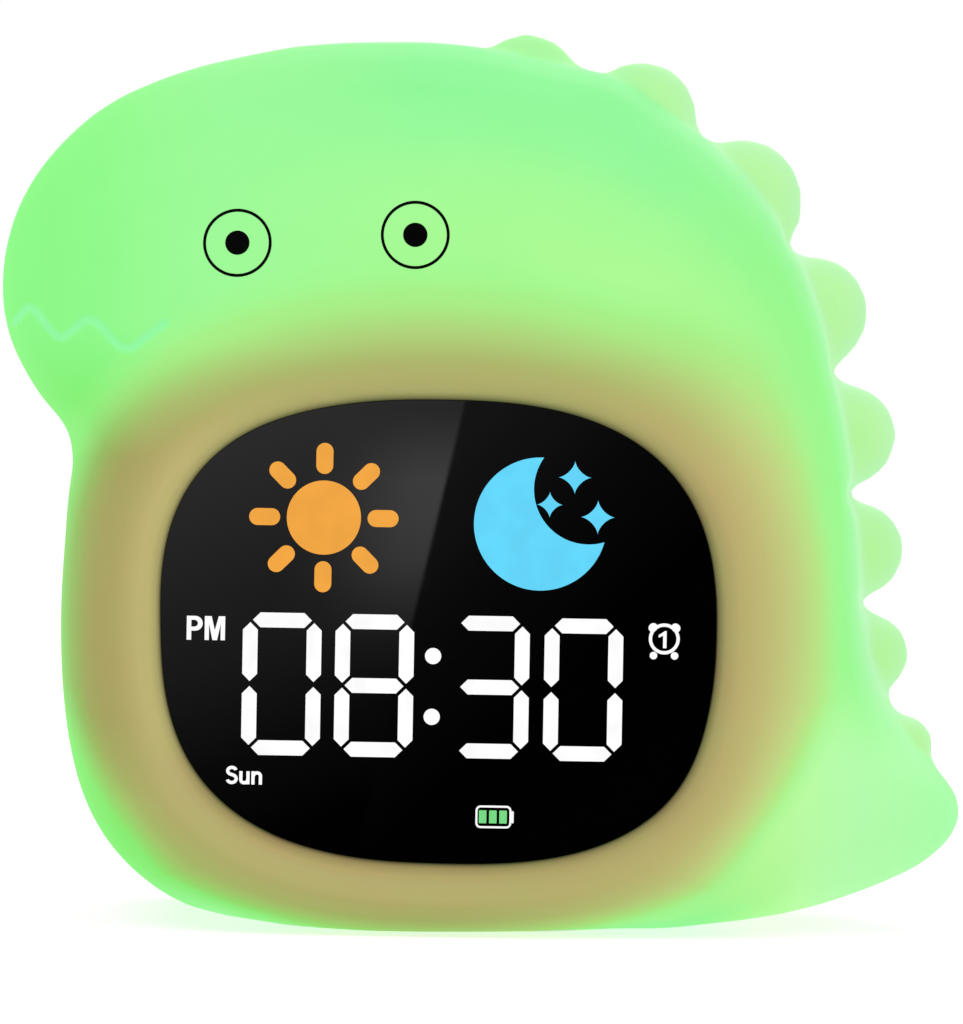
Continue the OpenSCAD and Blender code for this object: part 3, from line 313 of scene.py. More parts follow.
def combined(kind, first, second):
    """One step of arithmetic on two values, each a socket or a number."""
    made = nodes.new("ShaderNodeMath")
    made.operation = kind
    for socket, value in zip(made.inputs, (first, second)):
        if isinstance(value, bpy.types.NodeSocket):
            links.new(value, socket)
        else:
            socket.default_value = value
    return made.outputs[0]


def glow_ramp(source, stops):
    """Colours along a value, each stop a place and a colour as read on a screen."""
    return ramp(nodes, links, source, [(at, srgb(r, g, b)) for at, r, g, b in stops])


def between(source, low, high, new_low=0.0, new_high=1.0):
    """The share of the way from low to high, in mm, that a length has covered."""
    return spread(nodes, links, source, low * MM, high * MM, new_low, new_high)


place = nodes.new("ShaderNodeTexCoord")
split = nodes.new("ShaderNodeSeparateXYZ")
links.new(place.outputs["Object"], split.inputs["Vector"])
sideways, height = split.outputs["X"], split.outputs["Z"]
depth = combined("ABSOLUTE", split.outputs["Y"], 0)
# The painted glow, as if lit from within: the face paler towards the right,
# then the sides seen past its edge, with a painted pale highlight along the rim
# and a greener crest, the tail brighter, the left flank a deeper green, and the
# scutes paler towards their rims.
lit = glow_ramp(between(sideways, -70, 70), [
    (0.0, 137, 250, 131), (0.1, 144, 250, 139), (0.22, 158, 250, 152), (0.45, 168, 251, 149),
    (0.75, 175, 251, 147), (1.0, 181, 250, 168)])
crest = glow_ramp(between(depth, 0, 44), [
    (0.05, 158, 245, 163), (0.3, 143, 244, 152), (0.6, 144, 247, 153), (0.85, 154, 250, 155)])
painted_pale_rim = glow_ramp(between(depth, 0, 44), [
    (0.05, 196, 248, 198), (0.25, 185, 248, 184), (0.42, 164, 249, 164), (0.6, 151, 250, 140),
    (0.85, 159, 249, 138)])
edge = blend(nodes, links, between(sideways, 22, 46), crest, painted_pale_rim)
rounding = between(depth, 41, 33)
to_right = between(sideways, -52, -10)
lit = blend(nodes, links, combined("MULTIPLY", rounding, to_right), lit, edge)
tail_side, tail_low = between(sideways, 32, 46), between(height, 38, 24)
tail_glow = glow_ramp(between(sideways, 40, 70), [
    (0.0, 192, 255, 158), (0.4, 184, 255, 176), (1.0, 167, 254, 168)])
lit = blend(nodes, links, combined("MULTIPLY", tail_side, tail_low), lit, tail_glow)
left_flank = combined("MULTIPLY", between(height, 84, 74), between(sideways, -36, -50))
lit = blend(nodes, links, left_flank, lit, srgb(133, 243, 117))
scute_glow = glow_ramp(kept("scute_rim"), [
    (0.1, 183, 247, 157), (0.6, 187, 248, 167), (1.0, 189, 248, 184)])
to_back = between(sideways, 8, 30)
scute_glow = blend(nodes, links, to_back, srgb(170, 248, 160), scute_glow)
lit = blend(nodes, links, kept("scute"), lit, scute_glow)
# Round the opening the core's shade on the skin is painted into its colour: a tan
# that is darkest at the lip, with a painted near-black where the slot meets the lens,
# darker on the left and clearing into the painted glow further out. The shade thins
# out sooner at the chin and the lower corners, and later at the upper right.
outer = combined("MAXIMUM", combined("SUBTRACT", kept("from_window"), 0.25), 0)
chin = between(height, 3, 12, 0.75, 0.0)
corner_pull = combined("ADD", between(sideways, 18, 40, 0, 0.6), between(sideways, -28, -48, 0, 0.42))
low = between(height, 34, 14)
stretch = combined("MAXIMUM", chin, combined("MULTIPLY", corner_pull, low))
shoulder = combined("MULTIPLY", between(height, 61, 84, 0, -0.3), between(sideways, 18, 38))
stretch = combined("ADD", stretch, shoulder)
distance = combined("ADD", kept("from_window"), combined("MULTIPLY", outer, stretch))
# The painted shade's colours out from the lip: left, below, right and above the opening.
left_side = glow_ramp(distance, [
    (0.0, 88, 78, 50), (0.01, 142, 131, 88), (0.03, 176, 164, 109), (0.08, 193, 179, 118),
    (0.15, 195, 179, 119), (0.22, 189, 172, 113), (0.32, 178, 165, 103), (0.46, 171, 163, 99),
    (0.56, 163, 171, 96), (0.65, 151, 187, 95), (0.74, 145, 214, 108), (0.86, 138, 236, 116)])
below = glow_ramp(distance, [
    (0.0, 66, 56, 36), (0.01, 122, 106, 70), (0.03, 157, 138, 91), (0.09, 184, 165, 108),
    (0.15, 188, 175, 115), (0.24, 189, 178, 115), (0.34, 181, 174, 109), (0.52, 174, 184, 107),
    (0.62, 170, 200, 110), (0.7, 159, 214, 111), (0.84, 139, 237, 113)])
right_side = glow_ramp(distance, [
    (0.0, 62, 54, 34), (0.01, 122, 110, 72), (0.06, 168, 155, 100), (0.16, 189, 171, 112),
    (0.26, 194, 180, 117), (0.36, 196, 188, 121), (0.48, 198, 200, 126), (0.6, 196, 213, 132),
    (0.7, 189, 227, 133), (0.8, 177, 238, 137), (0.92, 166, 248, 148)])
above = glow_ramp(distance, [
    (0.0, 50, 50, 32), (0.01, 106, 106, 68), (0.05, 168, 168, 104), (0.14, 175, 174, 106),
    (0.27, 175, 185, 109), (0.46, 177, 211, 122), (0.67, 170, 239, 133), (0.9, 163, 248, 142)])
left_side = blend(nodes, links, between(height, 30, 18), left_side, below)
shaded = blend(nodes, links, between(sideways, -5, 35), left_side, right_side)
to_above = combined("MULTIPLY", between(height, 66, 82), between(sideways, 12, 42, 1.0, 0.4))
shaded = blend(nodes, links, to_above, shaded, above)
cleared = spread(nodes, links, distance, 0.76, 1.02)
colour = blend(nodes, links, cleared, shaded, lit)
# The mouth's groove is painted as a paler green line in the glow.
colour = blend(nodes, links, kept("mouth"), colour, srgb(148, 251, 164))
colour = blend(nodes, links, spread(nodes, links, noise(nodes, links, 90), 0.3, 0.7, 0, 0.06), colour,
               srgb(120, 225, 110))
# The painted glow: of each colour a share from 0.55 near the opening to 0.85 away from it is emitted, and
# the rest is the base colour under the lamps.
share = spread(nodes, links, distance, 0.2, 0.8, 0.55, 0.85)
black = (0, 0, 0, 1)
links.new(blend(nodes, links, share, colour, black), shader.inputs["Base Color"])
links.new(blend(nodes, links, share, black, colour), shader.inputs["Emission Color"])
shader.inputs["Emission Strength"].default_value = 1
shader.inputs["Roughness"].default_value = 0.6
shader.inputs["Specular IOR Level"].default_value = 0.04
grain(nodes, links, shader, 1600, 0.25, 0.05)
skin.data.materials.append(glow)
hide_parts("silicone_skin")
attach(skin, "root")

# ---- Eyes -------------------------------------------------------------------
# Two eyes in black silicone ink, each a fine ring round a pupil, printed on
# the finished skin, so they follow the head's curve.
EYES = [(-35.13, 96.35), (-10.37, 97.85)]
RING_R = 4.8
RING_LINE = 0.42
PUPIL_R = 1.7
INK = 0.12
START_Y = -64


def printed(name, x, z, radius, line):
    """A ring, or a disc where line is 0, laid on the skin from the front."""
    fill = "NOTHING" if line else "TRIFAN"
    bpy.ops.object.select_all(action="DESELECT")
    bpy.ops.mesh.primitive_circle_add(vertices=96, radius=radius * MM, fill_type=fill,
                                      rotation=(math.radians(90), 0, 0))
    bpy.ops.object.transform_apply(location=False, rotation=True, scale=True)
    piece = bpy.context.object
    piece.name = piece.data.name = name
    if line:
        bpy.ops.object.mode_set(mode="EDIT")
        bpy.ops.mesh.select_all(action="SELECT")
        bpy.ops.mesh.extrude_edges_move()
        inner = 1 - line / radius
        bpy.ops.transform.resize(value=(inner, 1, inner), center_override=(0, 0, 0))
        bpy.ops.object.mode_set(mode="OBJECT")
    piece.location = (x * MM, START_Y * MM, z * MM)
    only(piece)
    bpy.ops.object.transform_apply(location=True, rotation=False, scale=False)
    shaped(piece, "SHRINKWRAP", target=skin, wrap_method="PROJECT", use_project_y=True,
           use_positive_direction=True, use_negative_direction=False)
    shaped(piece, "SOLIDIFY", thickness=INK * MM, offset=0)
    only(piece)
    bpy.ops.object.mode_set(mode="EDIT")
    bpy.ops.mesh.select_all(action="SELECT")
    bpy.ops.mesh.normals_make_consistent(inside=False)
    bpy.ops.object.mode_set(mode="OBJECT")
    bpy.ops.object.shade_smooth_by_angle(angle=math.radians(40))
    return piece


ink, nodes, links, shader = material("black_ink")
links.new(ramp(nodes, links, noise(nodes, links, 1500), [
    (0.3, srgb(0, 1, 0)), (0.7, srgb(3, 3, 3))]), shader.inputs["Base Color"])
shader.inputs["Roughness"].default_value = 0.6
shader.inputs["Specular IOR Level"].default_value = 0.02
grain(nodes, links, shader, 3000, 0.2, 0.02)
parts = []
for x, z in EYES:
    parts += [printed("ring", x, z, RING_R, RING_LINE), printed("pupil", x, z, PUPIL_R, 0)]
only(*parts)
bpy.ops.object.join()
eyes = bpy.context.object
eyes.name = eyes.data.name = "printed_eyes"
eyes.data.materials.append(ink)
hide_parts("eye_prints")
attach(eyes, "root")

# ---- Lens -------------------------------------------------------------------
# The polished smoked acrylic window, taped into the front housing behind the
# lip of the skin. Its front edge is broken with a small polished bevel.
LENS_GAP = 0.02
LENS_FRONT = -42.4
LENS_BACK = -40.2
LENS_EDGE = 0.07


def outline(w, h, count):
    """Points of the rounded outline about the window's centre, in mm."""
    made = []
    for i in range(count):
        a = 2 * math.pi * i / count
        x = math.copysign(abs(math.cos(a)) ** (2 / SQUARENESS), math.cos(a)) * w / 2
        z = math.copysign(abs(math.sin(a)) ** (2 / SQUARENESS), math.sin(a)) * h / 2
        made.append((x - LEAN * z, z))
    return made


def flat_shape(name, points, y0, y1):
    """A flat shape with the given outline about the window's centre, from y0 to y1."""
    bpy.ops.object.select_all(action="DESELECT")
    bpy.ops.mesh.primitive_circle_add(vertices=len(points), radius=MM, fill_type="NGON")
    piece = bpy.context.object
    piece.name = piece.data.name = name
    for v, (x, z) in zip(piece.data.vertices, points):
        v.co = ((WINDOW_X + x) * MM, y0 * MM, (WINDOW_Z + z) * MM)
    bpy.ops.object.mode_set(mode="EDIT")
    bpy.ops.mesh.select_all(action="SELECT")
    bpy.ops.mesh.extrude_region_move(TRANSFORM_OT_translate={"value": (0, (y1 - y0) * MM, 0)})
    bpy.ops.mesh.select_all(action="SELECT")
    bpy.ops.mesh.normals_make_consistent(inside=False)
    bpy.ops.object.mode_set(mode="OBJECT")
    return piece


lens_rim = []
for x, z in outline(WINDOW_W, WINDOW_H, 160):
    out = 1 + (lip_edge(x, z) - LENS_GAP) / math.hypot(x, z)
    lens_rim.append((x * out + LIP_SHIFT[0], z * out + LIP_SHIFT[1]))
lens = flat_shape("lens", lens_rim, LENS_FRONT, LENS_BACK)
shaped(lens, "BEVEL", width=LENS_EDGE * MM, segments=3, limit_method="ANGLE", angle_limit=math.radians(60))
bpy.ops.object.shade_smooth_by_angle(angle=math.radians(35))
for face in lens.data.polygons:
    face.use_smooth = abs(face.normal.y) < 0.999
acrylic, nodes, links, shader = material("smoked_acrylic")
links.new(ramp(nodes, links, noise(nodes, links, 40), [
    (0.3, (0.0003, 0.0003, 0.0004, 1)), (0.7, (0.0006, 0.0006, 0.0007, 1))]), shader.inputs["Base Color"])
links.new(spread(nodes, links, noise(nodes, links, 300), 0.3, 0.7, 0.015, 0.035),
          shader.inputs["Roughness"])
shader.inputs["Specular IOR Level"].default_value = 0.5
lens.data.materials.append(acrylic)
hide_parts("display_lens")
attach(lens, "root")

# ---- Display ----------------------------------------------------------------
# The lit signs of the display: light from the wells behind the smoked acrylic
# that leaves through windows in its black print. Digits, sun, moon and the
# small signs, each sharp-edged and evenly lit.
SIGN_FRONT = LENS_FRONT - 0.04
SIGN_BACK = LENS_FRONT + 0.03


def sign(points, turn=0.0, at=(0, 0)):
    """One lit shape, turned about its own zero and moved to its place."""
    c, s = math.cos(turn), math.sin(turn)
    moved = [(at[0] + x * c - z * s, at[1] + x * s + z * c) for x, z in points]
    return flat_shape("sign", moved, SIGN_FRONT, SIGN_BACK)


def arc(x, z, r, start, end, count):
    angles = [start + (end - start) * i / count for i in range(count + 1)]
    return [(x + r * math.cos(a), z + r * math.sin(a)) for a in angles]


def disc(r, count=48):
    return arc(0, 0, r, 0, 2 * math.pi * (1 - 1 / count), count - 1)


def capsule(length, width):
    """A bar with round ends that points along z."""
    r, reach = width / 2, (length - width) / 2
    return arc(0, reach, r, 0, math.pi, 14) + arc(0, -reach, r, math.pi, 2 * math.pi, 14)


def joined(name, pieces, finish):
    only(*pieces)
    if len(pieces) > 1:
        bpy.ops.object.join()
    piece = bpy.context.object
    piece.name = piece.data.name = name
    piece.data.materials.clear()
    piece.data.materials.append(finish)
    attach(piece, "root")
    return piece


def lamp_light(name, colour):
    """The light of one colour of LED through a diffuser, a little uneven from die to die."""
    made, nodes, links, shader = material(name)
    dim = tuple(c * 0.93 for c in colour[:3]) + (1,)
    uneven = ramp(nodes, links, noise(nodes, links, 260, 1.0), [(0.35, dim), (0.65, colour)])
    shader.inputs["Base Color"].default_value = (0.01, 0.01, 0.01, 1)
    links.new(uneven, shader.inputs["Emission Color"])
    shader.inputs["Emission Strength"].default_value = 1
    shader.inputs["Roughness"].default_value = 0.25
    shader.inputs["Specular IOR Level"].default_value = 0.2
    return made


white_light = lamp_light("white_light", (1.02, 1.02, 1.02, 1))
sun_light = lamp_light("amber_light", srgb(243, 166, 59))
moon_light = lamp_light("sky_blue_light", srgb(98, 216, 253))
green_light = lamp_light("green_light", srgb(119, 221, 132))

DIGITS = [("abcdef", -21.91, -7.75), ("abcdefg", -9.03, -7.77), ("abcdg", 7.06, -7.72),
          ("abcdef", 20.08, -7.88)]
DIGIT_W, DIGIT_H = 10.95, 19.84
BAR = 2.07
BAR_GAP = 0.34
COLON, COLON_R = ((-0.88, -3.5), (-0.93, -11.96)), 1.13
side, rise = (DIGIT_W - BAR) / 2, (DIGIT_H - BAR) / 2


def bar(length):
    half, s = length / 2 - BAR_GAP, BAR / 2
    return [(-half, 0), (-half + s, -s), (half - s, -s), (half, 0), (half - s, s), (-half + s, s)]


across, upright = bar(2 * side), bar(rise)
BARS = {"a": (0, rise, across, 0), "g": (0, 0, across, 0), "d": (0, -rise, across, 0),
        "f": (-side, rise / 2, upright, 90), "b": (side, rise / 2, upright, 90),
        "e": (-side, -rise / 2, upright, 90), "c": (side, -rise / 2, upright, 90)}
digits = []
for bars, x, z in DIGITS:
    for key in bars:
        dx, dz, points, turn = BARS[key]
        digits.append(sign(points, math.radians(turn), (x + dx, z + dz)))
for dot in COLON:
    digits.append(sign(disc(COLON_R), at=dot))
joined("digits", digits, white_light)

SUN, SUN_R = (-16.4, 15.5), 5.16
RAY_AT, RAY_LONG, RAY_WIDE = 8.23, 4.32, 2.37
rays = [sign(disc(SUN_R, 72), at=SUN)]
for i in range(8):
    turn = math.radians(45 * i)
    centre = (SUN[0] - RAY_AT * math.sin(turn), SUN[1] + RAY_AT * math.cos(turn))
    rays.append(sign(capsule(RAY_LONG, RAY_WIDE), turn, centre))
joined("sun_sign", rays, sun_light)

MOON, MOON_R = (13.74, 15.12), 9.26
BITE, BITE_R = (20.41, 20.05), 7.66
STARS = ((18.43, 21.67, 2.3), (14.99, 17.84, 1.81), (21.72, 16.2, 2.37))
gap = math.hypot(BITE[0] - MOON[0], BITE[1] - MOON[1])
aim = math.atan2(BITE[1] - MOON[1], BITE[0] - MOON[0])
open_moon = math.acos((MOON_R ** 2 + gap ** 2 - BITE_R ** 2) / (2 * MOON_R * gap))
open_bite = math.acos((BITE_R ** 2 + gap ** 2 - MOON_R ** 2) / (2 * BITE_R * gap))
crescent = arc(*MOON, MOON_R, aim + open_moon, aim + 2 * math.pi - open_moon, 70)
crescent += arc(*BITE, BITE_R, aim + math.pi + open_bite, aim + math.pi - open_bite, 40)[1:-1]
night = [sign(crescent)]
for x, z, half in STARS:
    star = []
    for i in range(48):
        c, s = math.cos(math.radians(7.5 * i)), math.sin(math.radians(7.5 * i))
        star.append((half * math.copysign(abs(c) ** 3, c), half * math.copysign(abs(s) ** 3, s)))
    night.append(sign(star, at=(x, z)))
joined("moon_sign", night, moon_light)


def pen(path, width):
    """The outline of a line of even width drawn along a path."""
    left, right = [], []
    for i, (x, z) in enumerate(path):
        a, b = path[max(i - 1, 0)], path[min(i + 1, len(path) - 1)]
        half = width / 2 / math.hypot(b[0] - a[0], b[1] - a[1])
        left.append((x - (b[1] - a[1]) * half, z + (b[0] - a[0]) * half))
        right.append((x + (b[1] - a[1]) * half, z - (b[0] - a[0]) * half))
    return left + right[::-1]


def bow(x, z, rx, rz, start, end, count=14):
    """Points of an arc of an ellipse, its angles in degrees."""
    circle = arc(0, 0, 1, math.radians(start), math.radians(end), count)
    return [(x + rx * c, z + rz * s) for c, s in circle]


def rounded(w, h, r):
    """A rectangle with round corners."""
    x, z, turn = w / 2 - r, h / 2 - r, math.pi / 2
    return (arc(x, z, r, 0, turn, 6) + arc(-x, z, r, turn, 2 * turn, 6)
            + arc(-x, -z, r, 2 * turn, 3 * turn, 6) + arc(x, -z, r, 3 * turn, 4 * turn, 6))


def line_sign(outer, inner, at):
    """A closed lit line: the outer outline extruded, with the inner one cut out."""
    body = sign(outer, at=at)
    opening = [(at[0] + x, at[1] + z) for x, z in inner]
    cutter = flat_shape("cutter", opening, SIGN_FRONT - 1, SIGN_BACK + 1)
    shaped(body, "BOOLEAN", operation="DIFFERENCE", object=cutter, solver="EXACT")
    bpy.data.objects.remove(cutter)
    return body


ALARM = (31.25, -0.57)
BATTERY = (7.9, -25.75)
PM_AT, SUN_AT = (-35.2, -1.8), (-29.45, -21.8)
THIN = 0.45
letter_m = [(0, 0), (0.6, 0), (0.6, 2.3), (1.09, 0), (1.74, 0), (2.22, 2.3), (2.22, 0), (2.83, 0),
            (2.83, 3.33), (1.94, 3.33), (1.41, 1.35), (0.94, 3.33), (0, 3.33)]
letter_p = [(0, 0), (0.64, 0), (0.64, 1.27)] + bow(1.19, 2.3, 1.03, 1.03, -90, 90) + [(0, 3.33)]
eye_of_p = [(0.63, 1.84)] + bow(1.08, 2.31, 0.47, 0.47, -90, 90) + [(0.63, 2.78)]
letter_s = pen(bow(0.86, 1.86, 0.58, 0.48, 15, 255, 20) + bow(0.86, 0.77, 0.62, 0.535, 75, -165, 20), THIN)
letter_u = pen([(0.225, 1.84)] + bow(0.7, 0.65, 0.475, 0.425, 180, 360), THIN)
letter_n = pen([(1.26, 0)] + bow(0.78, 1.2, 0.48, 0.43, 0, 180), THIN)
upright_of_u = [(0.99, 0.02), (1.44, 0.02), (1.44, 1.84), (0.99, 1.84)]
upright_of_n = [(0, 0), (THIN, 0), (THIN, 1.84), (0, 1.84)]
figure_1 = [(-0.24, 0), (0.24, 0), (0.24, 2.38), (-0.02, 2.38), (-0.87, 1.8), (-0.87, 1.45), (-0.24, 1.74)]


def beside(at, x):
    return (at[0] + x, at[1])


small = [line_sign(letter_p, eye_of_p, PM_AT), sign(letter_m, at=beside(PM_AT, 2.5)),
         sign(letter_s, at=SUN_AT), sign(letter_u, at=beside(SUN_AT, 1.9)),
         sign(upright_of_u, at=beside(SUN_AT, 1.9)),
         sign(letter_n, at=beside(SUN_AT, 3.59)), sign(upright_of_n, at=beside(SUN_AT, 3.59)),
         sign(figure_1, at=(ALARM[0] + 0.08, ALARM[1] - 1.29)), line_sign(disc(2.16), disc(1.7), ALARM),
         line_sign(rounded(5.0, 3.15, 0.7), rounded(4.45, 2.6, 0.45), BATTERY),
         sign(rounded(0.32, 1.7, 0.15), at=(BATTERY[0] + 2.66, BATTERY[1]))]
for s in (-1, 1):
    small.append(sign([(x, z * 0.88) for x, z in disc(0.66, 24)], -s * math.radians(45),
                      (ALARM[0] + s * 1.6, ALARM[1] + 1.56)))
    small.append(sign(disc(0.53, 24), at=(ALARM[0] + s * 1.47, ALARM[1] - 2.34)))
joined("small_signs", small, white_light)
charge = [sign(rounded(1.05, 1.8, 0.08), at=(BATTERY[0] + s * 1.42 - 0.08, BATTERY[1])) for s in (-1, 0, 1)]
joined("battery_bars", charge, green_light)

# ---- Core housings ----------------------------------------------------------
# Two halves moulded in warm white plastic with a satin grain. Only the rear
# half shows, where its control panel stands in the skin's rear opening.


def plastic(name, colour, roughness, grain_depth=0.03, sheen=0.4):
    """A moulded plastic or rubber: slight mottling, uneven gloss and a fine grain."""
    made, nodes, links, shader = material(name)
    dark = tuple(c * 0.96 for c in colour[:3]) + (1,)
    pale = tuple(min(c * 1.02, 1) for c in colour[:3]) + (1,)
    mottled = ramp(nodes, links, noise(nodes, links, 70), [(0.3, dark), (0.7, pale)])
    links.new(mottled, shader.inputs["Base Color"])
    links.new(spread(nodes, links, noise(nodes, links, 400), 0.3, 0.7, roughness - 0.06, roughness + 0.06),
              shader.inputs["Roughness"])
    shader.inputs["Specular IOR Level"].default_value = sheen
    grain(nodes, links, shader, 2600, 0.3, grain_depth)
    return made


def metal(name, colour, roughness, stretch=(1, 1, 12)):
    """A plated or ground metal with fine brush marks along one direction."""
    made, nodes, links, shader = material(name)
    place = nodes.new("ShaderNodeTexCoord")
    turn = nodes.new("ShaderNodeMapping")
    turn.inputs["Scale"].default_value = stretch
    marks = nodes.new("ShaderNodeTexNoise")
    marks.inputs["Scale"].default_value = 700
    links.new(place.outputs["Object"], turn.inputs["Vector"])
    links.new(turn.outputs["Vector"], marks.inputs["Vector"])
    dark = tuple(c * 0.8 for c in colour[:3]) + (1,)
    brushed = ramp(nodes, links, marks.outputs["Fac"], [(0.35, dark), (0.65, colour)])
    links.new(brushed, shader.inputs["Base Color"])
    links.new(spread(nodes, links, marks.outputs["Fac"], 0.3, 0.7, roughness - 0.08, roughness + 0.1),
              shader.inputs["Roughness"])
    shader.inputs["Metallic"].default_value = 1
    return made


def dressed(node, name, body, finish, edge, angle=35):
    """A copy of a CAD node with its sharp edges rounded, in place of the node."""
    piece = copy_of(node, name)
    bpy.ops.object.mode_set(mode="EDIT")
    bpy.ops.mesh.select_all(action="SELECT")
    bpy.ops.mesh.dissolve_limited(angle_limit=math.radians(0.3))
    bpy.ops.object.mode_set(mode="OBJECT")
    shaped(piece, "BEVEL", width=edge * MM, segments=3, limit_method="ANGLE",
           angle_limit=math.radians(angle))
    only(piece)
    bpy.ops.object.shade_smooth_by_angle(angle=math.radians(32))
    piece.data.materials.append(finish)
    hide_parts(node)
    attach(piece, body)
    return piece


def finished(node, finish):
    """A CAD node that keeps its shape and gets its finish."""
    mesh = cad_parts[node].data
    mesh.materials.clear()
    mesh.materials.append(finish)


warm_white = plastic("warm_white_plastic", srgb(238, 236, 228), 0.42)
dressed("rear_housing", "rear_panel", "root", warm_white, 0.35)
finished("front_housing", warm_white)

# ---- Rear keys --------------------------------------------------------------
# Six round caps in pale grey plastic, three each side of the speaker grille.
# Each is moulded with a flange inside the panel and has a plain printed sign.
KEY_TOP = 43.8
PRINT_HALF = 0.05
KEYS = {"set": (-25, 13.5), "alarm": (-25, 0), "sound": (-25, -13.5),
        "light": (25, 13.5), "up": (25, 0), "down": (25, -13.5)}
key_grey = plastic("pale_grey_plastic", srgb(214, 220, 216), 0.4)
sign_grey = plastic("grey_print", srgb(92, 100, 98), 0.5, 0.01)


def key_sign(points, at):
    """A printed shape on a key, drawn as read from behind, so it is mirrored."""
    mirrored_points = [(at[0] - x, at[1] + z) for x, z in points]
    return flat_shape("sign", mirrored_points, KEY_TOP - PRINT_HALF, KEY_TOP + PRINT_HALF)


def key_ring(r, line, at):
    body = key_sign(disc(r), at)
    opening = [(at[0] + x, at[1] + z) for x, z in disc(r - line)]
    cutter = flat_shape("cutter", opening, KEY_TOP - 1, KEY_TOP + 1)
    shaped(body, "BOOLEAN", operation="DIFFERENCE", object=cutter, solver="EXACT")
    bpy.data.objects.remove(cutter)
    return body


def box_points(x0, x1, z0, z1):
    return [(x0, z0), (x1, z0), (x1, z1), (x0, z1)]


def ray(turn):
    """One ray of the lamp's sign, turned about its middle."""
    c, s = math.cos(turn), math.sin(turn)
    return [(x * c - (z + 1.55) * s, x * s + (z + 1.55) * c) for x, z in capsule(0.8, 0.34)]


bell = arc(0, 0.35, 1.25, 0, math.pi, 16) + [(-1.25, -0.7), (-1.8, -1.15), (1.8, -1.15), (1.25, -0.7)]
KEY_SIGNS = {
    "set": [box_points(-0.16, 0.16, -0.1, 1.25), box_points(-0.1, 0.9, -0.16, 0.16)],
    "alarm": [bell, [(x, z - 1.65) for x, z in disc(0.4, 20)]],
    "sound": [[(x * 1.1 - 0.5, z - 1.2) for x, z in disc(0.75, 24)], box_points(-0.02, 0.3, -1.2, 1.6),
              [(0.0, 1.6), (0.0, 0.9), (1.2, 0.3), (1.2, 1.0)]],
    "light": [disc(0.85, 32)] + [ray(math.radians(45 * i)) for i in range(8)],
    "up": [[(-1.6, -0.9), (1.6, -0.9), (0, 1.4)]],
    "down": [[(-1.6, 0.9), (0, -1.4), (1.6, 0.9)]],
}
for key, at in KEYS.items():
    dressed(key + "_key", key + "_cap", key + "_button", key_grey, 0.45)
    shapes = [key_sign(points, at) for points in KEY_SIGNS[key]]
    if key == "set":
        shapes.append(key_ring(1.95, 0.3, at))
    printed_sign = joined(key + "_sign", shapes, sign_grey)
    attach(printed_sign, key + "_button")
    finished(key + "_plunger", key_grey)

# ---- Slider and charging socket ----------------------------------------------
# The power slider is a ribbed cap on the lever of a slide switch. The socket
# is a drawn steel shell with a black nylon tongue.
slider_black = plastic("dark_grey_plastic", srgb(58, 60, 62), 0.5)
dressed("power_slider", "slider_cap", "power_switch", slider_black, 0.08)
finished("switch_lever", slider_black)
plated_steel = metal("plated_steel", srgb(205, 206, 210), 0.28)
dressed("usb_shell", "socket_shell", "root", plated_steel, 0.06)
black_nylon = plastic("black_nylon", srgb(26, 26, 28), 0.5)
dressed("usb_tongue", "socket_tongue", "root", black_nylon, 0.12)
finished("power_switch_body", plated_steel)

# ---- Base -------------------------------------------------------------------
# The base plate closes the skin's opening underneath and clamps its edge. It
# carries four rubber feet, and four screws with cross recesses hold it.
base_plastic = plastic("base_plastic", srgb(228, 227, 219), 0.48)
dressed("base_plate", "base_plate_moulding", "root", base_plastic, 0.3)
foot_rubber = plastic("pale_rubber", srgb(222, 224, 220), 0.7, 0.05, 0.25)
dressed("rubber_feet", "rubber_foot_pads", "root", foot_rubber, 0.3)
dressed("base_screws", "base_screw_heads", "root", plated_steel, 0.15, 60)

# ---- Speaker ----------------------------------------------------------------
# A round speaker behind the grille, with a black dust cloth laid over it.
cloth, nodes, links, shader = material("dust_cloth")
place = nodes.new("ShaderNodeTexCoord")
weave = nodes.new("ShaderNodeTexVoronoi")
weave.inputs["Scale"].default_value = 2600
links.new(place.outputs["Object"], weave.inputs["Vector"])
links.new(ramp(nodes, links, weave.outputs["Distance"], [
    (0.0, srgb(52, 52, 54)), (0.6, srgb(20, 20, 22))]), shader.inputs["Base Color"])
shader.inputs["Roughness"].default_value = 0.9
threads = nodes.new("ShaderNodeBump")
threads.inputs["Distance"].default_value = 0.05 * MM
links.new(weave.outputs["Distance"], threads.inputs["Height"])
links.new(threads.outputs["Normal"], shader.inputs["Normal"])
finished("grille_cloth", cloth)
finished("speaker_cone", plastic("pressed_paper", srgb(44, 44, 46), 0.85, 0.1, 0.2))
finished("speaker_frame", plastic("black_zinc", srgb(66, 66, 70), 0.45))
finished("speaker_magnet", metal("ground_steel", srgb(150, 150, 155), 0.4))
finished("speaker_gasket", plastic("black_foam", srgb(32, 32, 32), 0.95, 0.2, 0.1))

